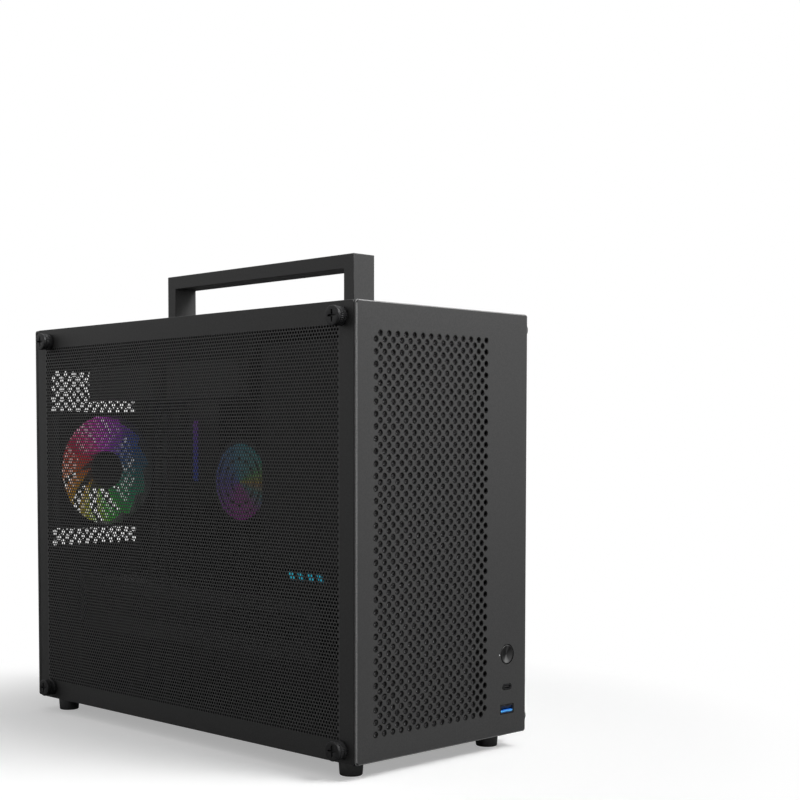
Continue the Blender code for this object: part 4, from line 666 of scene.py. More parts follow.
def thumbScrew(stand, knurls, steps, headRadius, headThickness, headEdge, barrel, groove, chamfer, neck, shankRadius,
               shank, knurlDepth, crossReach, crossWidth, crossEdge, seat):
    # a crossed plate on a turned barrel: two knurled rings with a groove between them and under the plate
    outline = roundLoop((0, 0), headRadius - headEdge, 72)
    head = plateShape([outline, crossLoop(crossReach, crossWidth)], headThickness, [headEdge, crossEdge])
    h, k, inner = stand - headThickness, knurlDepth, barrel - chamfer
    third = (h - seat) / 3
    profile = [
        (0, h + neck[0], 0), (groove, h + neck[0], 0), (groove, h - neck[1], 0), (inner, h - neck[2], k),
        (barrel, h - neck[3], k), (barrel, seat + 1.62 * third, k), (inner, seat + 1.52 * third, k),
        (groove, seat + 1.35 * third, 0), (groove, seat + 1.15 * third, 0), (inner, seat + third, k),
        (barrel, seat + 0.9 * third, k), (barrel, seat + chamfer, k), (inner, seat, k), (shankRadius, seat, 0),
        (shankRadius, -shank, 0), (0, -shank, 0)]
    return gather([moved(head, shift=(0, 0, stand)), turnedShape(profile, steps, knurls)])


for name in nodesNamed("thumb_screw"):
    low, high = boxOf(name)
    onLeft = "left" in name
    panel, stand = (left, left - low[0]) if onLeft else (right, high[0] - right)
    turn = turnAbout("y", -pi / 2 if onLeft else pi / 2)
    shape = moved(thumbScrew(stand, **screwValues), turn, (panel, *middleOf(name)[1:]))
    makePiece("thumbScrew" + titled(name[12:]), shape, "screwBlack", [name], crease=28)
print("thumb screws made")


# Feet

footValues = {"steps": 64, **lengths(
    edge=0.9, recessRadius=3, recess=3, taper=0.7, stemRadius=2.5, lap=0.3, rim=0.5)}


def foot(name, steps, edge, recessRadius, recess, taper, stemRadius, lap, rim):
    # a turned profile: a recess below, a rounded and tapered side, a soft rim under the base, and a stem
    low, high = boxOf(name)
    wide, stem, seat = (high[0] - low[0]) / 2, high[2], bottom - lap
    profile = np.concatenate([
        [(0, recess), (recessRadius, recess), (recessRadius, lap), (recessRadius + lap, 0)],
        quarterRound(wide - taper, 0, edge) * [1, -1],
        [(wide, seat - rim), (wide - 0.3 * rim, seat - 0.3 * rim), (wide - rim, seat)],
        [(stemRadius, seat), (stemRadius, stem), (0, stem)]])
    shape = moved(turnedShape(profile, steps), shift=(*middleOf(name)[:2], 0))
    makePiece("foot" + titled(name[5:]), shape, "footRubber", [name])


for name in nodesNamed("foot_"):
    foot(name, **footValues)
print("feet made")


# Power button, status light and front sockets

buttonValues = {"steps": 96, **lengths(
    radius=6.4, dish=0.8, sink=0.05, rim=0.35, flange=0.5, flangeAt=2.1, flangeThickness=1)}
lightDome = 0.3 * mm
socketValues = lengths(wall=0.4, typeCDepth=6.5, typeCCorner=1.6, typeADepth=13, typeACorner=0.5)


def onFront(name, profile, steps):
    # a turned profile that points out of the front panel
    low, (x, _, z) = boxOf(name)[0], middleOf(name)
    return moved(turnedShape(profile, steps), turnAbout("x", pi / 2), (x, low[1], z))


def powerButton(steps, radius, dish, sink, rim, flange, flangeAt, flangeThickness):
    # face h(r) = -dish (1 - (r / R)^2) - sink, then a rounded rim and a flange that keeps it in
    low, high = boxOf("power_button")
    face, wide = np.linspace(0, radius - 2 * rim, 10), radius + flange
    under, back = -flangeAt - flangeThickness, low[1] - high[1]
    profile = np.concatenate([
        np.stack([face, -dish * (1 - (face / face[-1]) ** 2) - sink], -1), quarterRound(radius, 0, rim),
        [(radius, -flangeAt), (wide, -flangeAt), (wide, under), (radius, under), (radius, back), (0, back)]])
    shape = onFront("power_button", profile, steps)
    makePiece("powerButton", shape, "turnedMetal", ["power_button"], "power_button", crease=30)


def statusLight(dome):
    # a rod whose end is the dome (R sin a, d (cos a - 1))
    low, high = boxOf("status_light_pipe")
    a, radius, back = np.linspace(0, pi / 2, 5), (high[0] - low[0]) / 2, low[1] - high[1]
    profile = [*zip(radius * np.sin(a), dome * (np.cos(a) - 1)), (radius, back), (0, back)]
    makePiece("statusLight", onFront("status_light_pipe", profile, 24), "whiteGlow", ["status_light_pipe"])


def socketShell(node, wall, radius, depth, gap=0.1 * mm):
    # a drawn tube round the opening, closed at its depth
    low, high = boxOf(node)
    outer = cornerLoop(low[::2] + gap, high[::2] - gap, radius - gap, 6)
    inner = cornerLoop(low[::2] + wall, high[::2] - wall, max(radius - wall, gap), 6)
    tube = plateShape([outer, inner], high[1] - low[1], [gap, 0.6 * gap], 2)
    back = roundedBlock(low + [wall / 2, depth, wall / 2], high - [wall / 2, 0, wall / 2], gap)
    return gather([moved(tube, turnAbout("x", pi / 2), (0, low[1], 0)), back])


def frontSockets(wall, typeCDepth, typeCCorner, typeADepth, typeACorner):
    # shells with rounded blocks inside, set from the opening's edges
    low, (x, _, z) = boxOf("usb_c_port")[0], middleOf("usb_c_port")
    at = np.array([x, low[1], z])
    makePiece("typeCSocket", socketShell("usb_c_port", wall, typeCCorner, typeCDepth), "darkSocket", ["usb_c_port"])
    tongue = roundedBlock(at + step(-3.3, 0.8, -0.35), at + step(3.3, 7, 0.35), 0.2 * mm)
    makePiece("typeCTongue", tongue, "footRubber", ["usb_c_port"])
    makePiece("typeASocket", socketShell("usb_a_port", wall, typeACorner, typeADepth), "darkSocket", ["usb_a_port"])
    low, high = boxOf("usb_a_port")
    end = np.array([high[0], *low[1:]])
    liner = roundedBlock(low + step(0.5, 0.5, 0.45), end + step(-0.5, 12, 2.3), 0.2 * mm, 3)
    lip = roundedBlock(low + step(0.5, 0.2, 0.9), end + step(-0.5, 0.7, 1.9), 0.2 * mm, 3)
    makePiece("typeALiner", liner, "linerBlue", ["usb_a_port"])
    # the lip's lighter blue is a painted highlight
    makePiece("typeALip", lip, "lipBlue", ["usb_a_port"])
    # the tongue's blue is darkened as painted shade
    makePiece("typeATongue", roundedBlock(*boxOf("usb_a_tongue"), 0.25 * mm, 3), "tongueBlue", ["usb_a_tongue"])


powerButton(**buttonValues)
statusLight(lightDome)
frontSockets(**socketValues)
print("controls made")


# Plain side panel and top panel

panelValues = lengths(edge=0.35, cornerRadius=2.0, screwHole=2.0)
topValues = lengths(slotWidth=8, pitch=14, margin=8.8, web=10.3, legRoom=20, keepClear=13, sheet=1, flange=15,
                    fold=1.2, slotEdge=0.15, bossRadius=4, bossHeight=2.2, bossInset=6)


def plainPanel(edge, cornerRadius, screwHole):
    # a flat plate with a rounded outline and a hole for each screw
    low, high = boxOf("plain_side_panel")
    loops = [cornerLoop(low[1:] + edge, high[1:] - edge, cornerRadius, 5)]
    loops += [roundLoop(centre, screwHole, 16) for centre in screwCentres("right")]
    shape = plateShape(loops, high[0] - low[0], [edge] + [0] * (len(loops) - 1), 2)
    shape = moved(shape, [[0, 0, 1], [1, 0, 0], [0, 1, 0]], (high[0], 0, 0))
    flatten(makePiece("plainPanel", shape, "caseCoat", ["plain_side_panel"]))


def topPanel(slotWidth, pitch, margin, web, legRoom, keepClear, sheet, flange, fold, slotEdge, bossRadius,
             bossHeight, bossInset):
    # the folded sheet's section, carried along Y at both sides, and the flat top with its slots between
    low, high = boxOf("top_plate")
    r0, r1 = boxOf("radiator")
    slotLength = (r1[0] - r0[0] - 2 * margin - web) / 2
    rearLeg = boxOf("handle")[1][1] - handleValues["bar"] / 2
    loops, half = [cornerLoop((low[0] + fold, low[1]), (high[0] - fold, high[1]), 0.02 * mm, 1)], slotWidth / 2
    for x in (r0[0] + margin, r0[0] + margin + slotLength + web):
        for y in r0[1] + pitch * (np.arange(int((r1[1] - r0[1] - 2 * pitch) / pitch + 1e-6)) + 1.5):
            if x >= legRoom or x + slotLength <= -legRoom or abs(y - rearLeg) >= keepClear:
                loops.append(cornerLoop((x, y - half), (x + slotLength, y + half), half * 0.95, 5))
    flat = plateShape(loops, sheet, [0] + [slotEdge] * (len(loops) - 1), 2)
    shapes = [moved(flat, shift=(0, 0, high[2]))]
    sine, cosine = np.sin(np.linspace(0, pi / 2, 7)), np.cos(np.linspace(0, pi / 2, 7))
    for x, sign in ((low[0], 1), (high[0], -1)):
        outer = np.stack([x + sign * fold * (1 - sine), high[2] - fold * (1 - cosine)], -1)
        inner = np.stack([x + sign * (fold - (fold - sheet) * sine), high[2] - fold + (fold - sheet) * cosine], -1)
        foot = high[2] - flange
        section = np.concatenate([outer, [(x, foot), (x + sign * sheet, foot)], inner[::-1]])
        shapes.append(sweptShape([[0, low[1], 0], [0, high[1], 0]], ([1, 0, 0], [0, 0, 1]), section))
    # four bosses carry the radiator
    boss = turnedShape([(0, 0), (bossRadius, 0), (bossRadius, -bossHeight), (0, -bossHeight)], 24)
    shapes += [moved(boss, shift=(x, y, high[2] - sheet)) for x in (r0[0] + bossInset, r1[0] - bossInset)
               for y in (r0[1] + bossInset, r1[1] - bossInset)]
    flatten(makePiece("topPanel", gather(shapes), "caseCoat", ["top_plate"]))


plainPanel(**panelValues)
topPanel(**topValues)
print("plain panel and top made")


# Rear wall: round holes in staggered rows, openings for sockets, cards and the inlet

rearValues = {"holeSides": 24, **lengths(
    holeRadius=2.5, pitch=7.7, rowPitch=4.1, holeEdge=0.15, sheet=1, ventSide=12, ventLow=119, ventHigh=262,
    ventToPorts=14.85, slotHeight=13.5, slotLap=4, fanScrews=41.25, screwRoom=4.9, portLap=1.5,
    inletHalf=(14.5, 10.8), cornerRadius=2, openingCorners=(0.8, 1, 0.6), lip=0.5, lap=0.3)}


def rearWall(holeSides, holeRadius, pitch, rowPitch, holeEdge, sheet, ventSide, ventLow, ventHigh, ventToPorts,
             slotHeight, slotLap, fanScrews, screwRoom, portLap, inletHalf, cornerRadius, openingCorners, lip, lap):
    # a sheet with a staggered field of holes, and a rounded strip carried round its edge
    low, high = boxOf("rear_wall")
    shieldLow, shieldHigh = boxOf("port_shield")
    fan, inlet, back = middleOf("rear_fan_frame"), middleOf("power_inlet")[::2], low[1] + sheet
    first = (left + ventSide + holeRadius, bottom + ventLow + holeRadius)
    last = (shieldLow[0] + portLap - ventToPorts - holeRadius, bottom + ventHigh - holeRadius)
    rows, columns = int((last[1] - first[1]) / rowPitch) + 1, int((last[0] - first[0]) / pitch) + 1
    centres = staggered(first, pitch, rowPitch, rows, columns)
    screws = [(fan[0] + i * fanScrews, fan[2] + k * fanScrews) for i in (-1, 1) for k in (-1, 1)]
    clear = np.min([np.hypot(*(centres - screw).T) for screw in screws], 0) > screwRoom
    field, faces, rings = squareField(
        centres[clear & (centres[:, 0] <= last[0] + 1e-6)], pitch, rowPitch, holeRadius, holeSides)
    outline = cornerLoop(low[::2], high[::2], cornerRadius, 5)
    openings = [cornerLoop(shieldLow[::2] + portLap, shieldHigh[::2] - portLap, openingCorners[0], 3),
                cornerLoop(inlet - inletHalf, inlet + inletHalf, openingCorners[1], 3)]
    coverLow, coverHigh = boxOf("slot_cover_1")
    bracketLow, bracketHigh = boxOf("graphics_bracket")
    quarter, half = (bracketHigh[2] - bracketLow[2]) / 4, slotHeight / 2
    x0, x1 = coverLow[0] + slotLap, coverHigh[0] - slotLap
    covers = [middleOf(name)[2] for name in ("slot_cover_1", "slot_cover_2")]
    for z in (*covers, bracketLow[2] + quarter, bracketHigh[2] - quarter):
        openings.append(cornerLoop((x0, z - half), (x1, z + half), openingCorners[2], 2))
    points, faces = withMargin([outline, *openings], field, faces, rings)
    edge = np.full(len(points), holeEdge)
    edge[len(field):len(field) + len(outline)] = 0
    wall = sheetFrom(points, faces, sheet, lambda a, b, d: np.stack([a, back - d, b], -1), edge, 2)
    path = cornerLoop(low[::2] + lip, high[::2] - lip, cornerRadius - lip, 5)
    away = path - np.clip(path, low[::2] + cornerRadius, high[::2] - cornerRadius)
    away /= np.linalg.norm(away, axis=1)[:, None]
    y0, y1 = back - lap, high[1]
    profile = [(-lip, y0), (lip, y0), (lip, y1 - lap), (lip - lap, y1), (-lip + lap, y1), (-lip, y1 - lap)]
    strip = sweptShape(np.insert(path, 1, 0, 1), (np.insert(away, 1, 0, 1), [0, 1, 0]), profile, closed=True)
    flatten(makePiece("rearWall", gather([wall, strip]), "caseCoat", ["rear_wall"]))
    head = ((0, 1.0), (1.2, 1.0), (2.6, 0.75), (3.2, 0.2), (3.2, 0), (1.4, 0), (1.4, -1.3), (0, -1.3))
    shapes = [moved(turnedShape(step(*head), 32), turnAbout("x", -pi / 2), (x, back, z)) for x, z in screws]
    makePiece("fanScrews", gather(shapes), "screwBlack")


rearWall(**rearValues)
print("rear wall made")


# Fans: a turned hub with swept, twisted blades

fanValues = {
    "bladeCount": 11, "sectionPoints": 16, "steps": 12, "hubSteps": 60, "sweep": 0.42, "spread": 0.72, "tipShare": 0.8,
    **lengths(thickness=1.3, hubEdge=1.4, groove=0.3, rootLap=0.6, tipGap=0.4, inset=1.2)}
fanSizes = lengths(tip=42.9, hub=15, cardTip=41.6, cardHub=12)
cardValues = {"fanShares": (0.24, 0.60), **lengths(
    bodyRight=61.5, bodyRear=175.5, bodyTop=74.2, finPitch=3.1, fin=0.9, slot=(3, 26), slotStep=9, plateInset=2,
    plateEnd=173)}
fanTurns = {"-y": (1, turnAbout("x", pi / 2)), "-z": (2, turnAbout("x", pi))}


def bladeRing(v, hub, tip, low, high):
    # r = hub + u (tip - hub), a = sweep u^1.4 + spread (w - 1/2), h falls from high to low with
    # w = (1 - cos s) / 2, and the thickness t sin s / 2 closes the section round s
    count, points, steps = v["bladeCount"], v["sectionPoints"], v["steps"]
    u = np.linspace(0, 1, steps)[:, None]
    s = np.arange(points) * 2 * pi / points
    across = (1 - np.cos(s))[None, :] / 2
    r = hub - v["rootLap"] + u * (tip - hub + v["rootLap"])
    a = v["sweep"] * u**1.4 + v["spread"] * (across - 0.5) * (1 - 0.1 * u)
    fall = (high - low - v["thickness"]) * (1 - (1 - v["tipShare"]) * u)
    h = (low + high) / 2 + fall * (0.5 - across) + v["thickness"] / 2 * np.sin(s) * (1 - 0.35 * u)
    a = a[None] + (np.arange(count) * 2 * pi / count)[:, None, None]
    first = (np.arange(count) * steps * points)[:, None, None]
    quads = (gridQuads(steps, points, wrapColumns=True)[None] + first).reshape(-1, 4)
    caps = [cap + first[:, 0] for cap in endCaps(steps, points)]
    return stacked(r * np.cos(a), r * np.sin(a), h).reshape(-1, 3), [quads, *caps]


def fanHub(v, radius, low, high):
    # a turned cap with a rounded edge and a shallow groove in its face
    outer, inner, floor = radius * 0.78, radius * 0.74, high - v["groove"]
    groove = [(inner, high), (inner, floor), (outer, floor), (outer, high)]
    profile = [(0, high), *groove, *quarterRound(radius, high, v["hubEdge"], 6), (radius, low), (0, low)]
    return turnedShape(profile, v["hubSteps"])


def fanRotor(name, node, body, centre, facing, tip, hub, finish, v=fanValues):
    # blades and hub are made along z and turned so that z runs towards the open side
    low, high = boxOf(node)
    axis, turn = fanTurns[facing]
    near, far = centre[axis] - low[axis], centre[axis] - high[axis]
    blades = bladeRing(v, hub, tip - v["tipGap"], far + v["inset"], near - v["inset"])
    makePiece(name + "Blades", moved(blades, turn, centre), finish, [node], body, crease=50)
    makePiece(name + "Hub", moved(fanHub(v, hub, far, near), turn, centre), "blackPlastic", [node], body)


wholeSize = fanSizes["tip"], fanSizes["hub"]
fanRotor("rearFan", "rear_fan_rotor", "rear_fan", middleOf("rear_fan_frame"), "-y", *wholeSize, "litBlades")
for end in ("front", "rear"):
    fanRotor(end + "CoolingFan", "radiator_fan_rotor_" + end, "radiator_fan_" + end,
             middleOf("radiator_fan_frame_" + end), "-z", *wholeSize, "smokeBlade")
cardLow, cardHigh = boxOf("graphics_card")
for number, share in enumerate(cardValues["fanShares"], 1):
    at = ((cardLow[0] + cardValues["bodyRight"]) / 2, cardLow[1] + share * (cardValues["bodyRear"] - cardLow[1]),
          (cardLow[2] + cardValues["bodyTop"]) / 2)
    fanRotor("cardFan%d" % number, "graphics_fan_rotor_%d" % number, "graphics_fan_%d" % number, at, "-z",
             fanSizes["cardTip"], fanSizes["cardHub"], "smokeBlade")
print("fans made")


# Radiator: end tanks and side plates round a core of flat tubes with folded fins

radiatorValues = {"tubes": 9, **lengths(
    body=27, tank=11.5, plate=1.5, edge=1.2, tubeWidth=2, coreDepth=22, foldPitch=1.3, finThickness=0.16,
    tubeEdge=0.9, fittingRadius=4.8, fittingSpacing=22)}


def barbedFitting(radius, length):
    # three cones, each a little wider at its foot
    rings = np.linspace(0.25, 1, 4) * length
    barbs = [point for a, b in zip(rings, rings[1:]) for point in ((radius, a), (radius * 0.84, b))]
    bore = [(radius * 0.55, length), (radius * 0.5, length * 0.5), (0, length * 0.5)]
    return turnedShape([(0, 0), (radius * 0.9, 0), (radius * 0.9, 0.25 * length), *barbs, *bore], 32)


def radiator(tubes, body, tank, plate, edge, tubeWidth, coreDepth, foldPitch, finThickness, tubeEdge, fittingRadius,
             fittingSpacing):
    # rounded blocks for tanks, plates and tubes; a fin is a thin section carried along a zigzag between two tubes
    low, high = boxOf("radiator")
    base = high[2] - body
    parts = [roundedBlock((low[0], low[1], base), (high[0], low[1] + tank, high[2]), edge, 3),
             roundedBlock((low[0], high[1] - tank, base), high, edge, 3)]
    y0, y1 = low[1] + tank - 1 * mm, high[1] - tank + 1 * mm
    for x in (low[0], high[0] - plate):
        parts.append(roundedBlock((x, y0, base), (x + plate, y1, high[2]), 0.4 * mm))
    for x in (-fittingSpacing, fittingSpacing):
        at = ((low[0] + high[0]) / 2 + x, low[1] + tank / 2, base + 0.2 * mm)
        parts.append(moved(barbedFitting(fittingRadius, base - low[2]), turnAbout("x", pi), at))
    makePiece("radiatorFrame", gather(parts), "innerCoat", ["radiator"])
    x0, x1, y0, y1 = low[0] + plate, high[0] - plate, low[1] + tank - 0.5 * mm, high[1] - tank + 0.5 * mm
    pitch = (x1 - x0 + tubeWidth) / (tubes + 1)
    gapWidth, z, half, t = pitch - tubeWidth, (base + high[2]) / 2, coreDepth / 2, finThickness / 2
    count = int((y1 - y0) / foldPitch)
    i, core = np.arange(count), []
    for k in range(tubes + 1):
        start = x0 + k * pitch
        path = np.stack([start + (i % 2) * gapWidth, y0 + (i + 0.5) * (y1 - y0) / count, 0 * i + z], -1)
        core.append(sweptShape(path, ([0, 1, 0], [0, 0, 1]), barSection(t, half)))
        if k < tubes:
            core.append(roundedBlock((start + gapWidth, y0, z - half), (start + pitch, y1, z + half), tubeEdge))
    makePiece("radiatorCore", gather(core), "finMetal", ["radiator"])


radiator(**radiatorValues)
print("radiator made")


# Pump: a turned head, its hose fittings and a lit disc with a ring of plain chevrons

pumpValues = {"steps": 96, "ribs": 48, "chevrons": 12, **lengths(
    radius=35, edge=3.5, groove=0.5, ribDepth=0.35, lensEdge=0.8, lensDome=0.25, chevronAt=16, chevronDepth=0.9,
    rings=(9, 25), ring=(0.35, 0.45), fitting=(4.8, 11), fittingSpacing=11, fittingLap=3)}


def pump(steps, ribs, chevrons, radius, edge, groove, ribDepth, lensEdge, lensDome, chevronAt, chevronDepth, rings,
         ring, fitting, fittingSpacing, fittingLap):
    # head: a profile of radii at shares of its length, with ribs between two grooves
    low, high = boxOf("pump_head")
    centre, length = np.array([low[0], *middleOf("pump_light")[1:]]), high[0] - low[0]
    inner = radius - groove
    shares = [(radius, 0.18, 0), (inner, 0.19, 0), (inner, 0.21, 0), (radius, 0.22, ribDepth),
              (radius, 0.7, ribDepth), (inner, 0.71, 0), (inner, 0.73, 0), (radius, 0.74, 0), (radius, 0.8, 0),
              (radius * 0.8, 0.85, 0), (radius * 0.8, 1, 0), (0, 1, 0)]
    profile = [(0, 0, 0), *np.insert(quarterRound(radius, 0, edge, 7), 2, 0, 1)]
    profile += [(r, -share * length, d) for r, share, d in shares]
    turn = turnAbout("y", -pi / 2)
    parts = [moved(turnedShape(profile, 4 * ribs, ribs), turn, centre)]
    for side in (-fittingSpacing, fittingSpacing):
        at = centre + [length * 0.6, fittingLap - radius, side]
        parts.append(moved(barbedFitting(*fitting), turnAbout("x", pi / 2), at))
    makePiece("pumpHead", gather(parts), "blackPlastic", ["pump_head"])
    # the lens: h = thickness - dome (r / R)^2, with a rounded rim
    lensLow, lensHigh = boxOf("pump_light")
    big, thick, seat = (lensHigh[2] - lensLow[2]) / 2, low[0] - lensLow[0], low[0] - lensHigh[0]
    r = np.linspace(0, big - lensEdge, 12)
    rim = [(big - 0.2 * mm, thick - 0.6 * mm), (big, thick - 1 * mm), (big, seat), (0, seat)]
    lens = turnedShape([*zip(r, thick - lensDome * (r / r[-1])**2), *rim], steps)
    makePiece("pumpLens", moved(lens, turn, centre), "pumpGlow", ["pump_light"])
    # plain chevrons in a ring, standing on the lens
    arm = np.array([[-3.2, 1.2], [0, 3.4], [3.2, 1.2], [3.2, -0.6], [0, 1.6], [-3.2, -0.6]]) * mm + [0, chevronAt]
    shapes = []
    for angle in np.arange(chevrons) * 2 * pi / chevrons:
        outline = arm @ [[cos(angle), sin(angle)], [-sin(angle), cos(angle)]]
        shapes.append(moved(plateShape([outline], chevronDepth, [0.1 * mm], 1), shift=(0, 0, thick + 0.2 * mm)))
    for reach in rings:
        hoop = sweptShape(*ringPath(reach), barSection(*ring), closed=True)
        shapes.append(moved(hoop, shift=(0, 0, thick - 0.2 * mm)))
    makePiece("pumpPattern", moved(gather(shapes), turn, centre), "blackPlastic")


pump(**pumpValues)
print("pump made")


# Power supply: a folded housing with a wire guard over its fan

supplyValues = {"guardRings": 6, **lengths(
    edge=1.6, guardDepth=2.4, guardCentre=12, guardReach=62, wire=0.8, plate=0.5, inset=4)}


def powerSupply(guardRings, edge, guardDepth, guardCentre, guardReach, wire, plate, inset):
    # a rounded block and a side plate; the guard is a round wire carried round rings and along two crossed spokes
    low, high = boxOf("power_supply")
    body = roundedBlock(low + [plate, guardDepth, 0], high, edge, 4)
    outline = cornerLoop(low[1:] + inset, high[1:] - [inset / 2, inset], inset / 2, 5)
    side = plateShape([outline], plate + 0.3 * mm, [0.2 * mm])
    side = moved(side, [[0, 0, -1], [1, 0, 0], [0, 1, 0]], (low[0], 0, 0))
    makePiece("supplyHousing", gather([body, side]), "supplyCoat", ["power_supply"])
    section, reach = wire * circle(10), guardReach + 3 * mm
    shapes = [sweptShape(*ringPath(radius, 96), section, closed=True)
              for radius in np.linspace(guardCentre, guardReach, guardRings)]
    for angle in (pi / 4, 3 * pi / 4):
        spoke = np.array([cos(angle), sin(angle), 0]) * reach
        wires = sweptShape([-spoke, spoke], ([-sin(angle), cos(angle), 0], [0, 0, 1]), section)
        shapes.append(moved(wires, shift=(0, 0, -0.5 * mm)))
    middle = ((low[0] + high[0]) / 2, low[1] + guardDepth / 2, (low[2] + high[2]) / 2)
    makePiece("supplyGuard", moved(gather(shapes), turnAbout("x", pi / 2), middle), "screwBlack", ["power_supply"])


powerSupply(**supplyValues)
print("power supply made")


# Main board: heat sinks, capacitors, chips and plugs on its face, all in millimetres

boardFace = 70.9
boardValues = {
    "fin": (3, 1.3, 0.4),  # pitch, width, edge
    "sinks": (((50, 22, 239), (98, 256), 5), ((52, 89, 150), (102, 228), 5), ((63, -52, 112), (-22, 122), 4)),
    "blocks": (
        ((60, -58, 178), (-48, 232)), ((62, 60, 258), (80, 268)), ((64, -60, 120), (-50, 140)),
        ((64, -60, 146), (-50, 168)), ((68.6, 108, 70), (122, 84)), ((68.9, -40, 142), (-28, 154)),
        ((68.8, 20, 112), (34, 122)), ((69.2, 130, 110), (138, 118))),
    "caps": (*((85, z) for z in range(150, 222, 8)), *((y, 233) for y in range(24, 84, 8)),
             *((-20, z) for z in range(190, 240, 9))),
    "cap": ((0, 8.7), (2.1, 8.7), (2.3, 9), (2.8, 8.8), (3, 8.3), (3, 1.8), (2.7, 1.4), (3, 1), (3, 0), (0, 0)),
    "small": [(70.1, -40 + column * 9.2, 32.5 + row * 2.6) for row in range(5) for column in range(12)],
}


def finnedBlock(low, high, base, pitch, width, edge):
    # a base plate with upright fins towards -x, in rows along z
    shapes, room = [roundedBlock((high[0] - base, low[1], low[2]), high, edge)], high[1] - low[1] - width
    count = int(room / pitch) + 1
    for y in low[1] + np.arange(count) * room / max(count - 1, 1):
        end = (high[0] - base / 2, y + width, high[2])
        shapes.append(roundedBlock((low[0], y, low[2]), end, min(edge, width / 3)))
    return gather(shapes)


def boardDetails(fin, sinks, blocks, caps, cap, small):
    # rounded blocks and turned cans, each reaching from its own height to the board's face
    parts = [finnedBlock(step(*low), step(boardFace, *high), base * mm, *step(*fin)) for low, high, base in sinks]
    makePiece("boardHeatSinks", gather(parts), "heatSinkGrey")
    can = turnedShape(np.array(cap) * mm, 24)
    parts = [moved(can, turnAbout("y", -pi / 2), step(boardFace, y, z)) for y, z in caps]
    makePiece("boardCapacitors", gather(parts), "capBlack")
    parts = [roundedBlock(step(*low), step(boardFace, *high), 0.4 * mm) for low, high in blocks]
    makePiece("boardPlugs", gather(parts), "blackPlastic")
    parts = [roundedBlock(step(x, y, z), step(boardFace, y + 2.6, z + 1.3), 0.2 * mm, 1) for x, y, z in small]
    makePiece("boardSmallParts", gather(parts), "heatSinkGrey")
    makePiece("boardLight", roundedBlock(step(69.4, 18, 44.5), step(boardFace, 84, 48.5), 0.6 * mm), "boardGlow")


boardDetails(**boardValues)
print("main board made")


# Graphics card: fin stack between its two covers, a plate over it and slots in the plate

def cardDetails(fanShares, bodyRight, bodyRear, bodyTop, finPitch, fin, slot, slotStep, plateInset, plateEnd):
    # equal fins along Y, and a plate with rows of rounded slots
    low, high = cardLow, cardHigh
    (x0, y0, z0), x1, y1, z1 = low + step(-1.2, 8, 14), low[0] + 1 * mm, 166 * mm, high[2] - 9 * mm
    fins = [roundedBlock((x0, y, z0), (x1, y + fin, z1), 0.25 * mm, 1)
            for y in np.linspace(y0, y1, int((y1 - y0) / finPitch))]
    makePiece("cardFins", gather(fins), "finMetal")
    loops = [cornerLoop(low[:2] + plateInset, (bodyRight - plateInset, plateEnd), 3 * mm, 5)]
    for x in step(-32) + np.arange(9) * slotStep:
        loops += [cornerLoop((x, y), (x + slot[0], y + slot[1]), 1.4 * mm, 4) for y in step(-84, -50, 78, 112)]
    plate = plateShape(loops, 1.4 * mm, [0.3 * mm] + [0.15 * mm] * (len(loops) - 1), 2)
    makePiece("cardPlate", moved(plate, shift=(0, 0, high[2] + 1.1 * mm)), "heatSinkGrey")


cardDetails(**cardValues)
print("graphics card made")


# Bottom filter: a fine black mesh over the slots of the base

filterValues = lengths(margin=(9, 26), cornerRadius=4, thickness=0.5, edge=0.15, height=1.6)


def bottomFilter(margin, cornerRadius, thickness, edge, height):
    # a flat plate with a rounded outline
    low, high = boxOf("base_tray")
    sheet = plateShape([cornerLoop(low[:2] + margin, high[:2] - margin, cornerRadius, 5)], thickness, [edge])
    makePiece("bottomFilter", moved(sheet, shift=(0, 0, bottom + height)), "fineMesh")


bottomFilter(**filterValues)
print("bottom filter made")


# Rear sockets: drawn metal cans with tongues, and the lit cover beside them

rearSocketValues = {
    # from and to, as shares of the opening in the shield
    "levels": ((0.085, 0.211), (0.255, 0.381), (0.425, 0.557), (0.583, 0.683), (0.718, 0.803)), "twoRowShare": 0.11,
    **lengths(opening=158.75, lap=1.5, canDepth=10, rim=1.2, tongue=1.8, tongueDepth=11, web=2, collar=1.5,
              collarAt=178.3, baseFront=178, lit=(135.5, 181, 141.5, 231))}


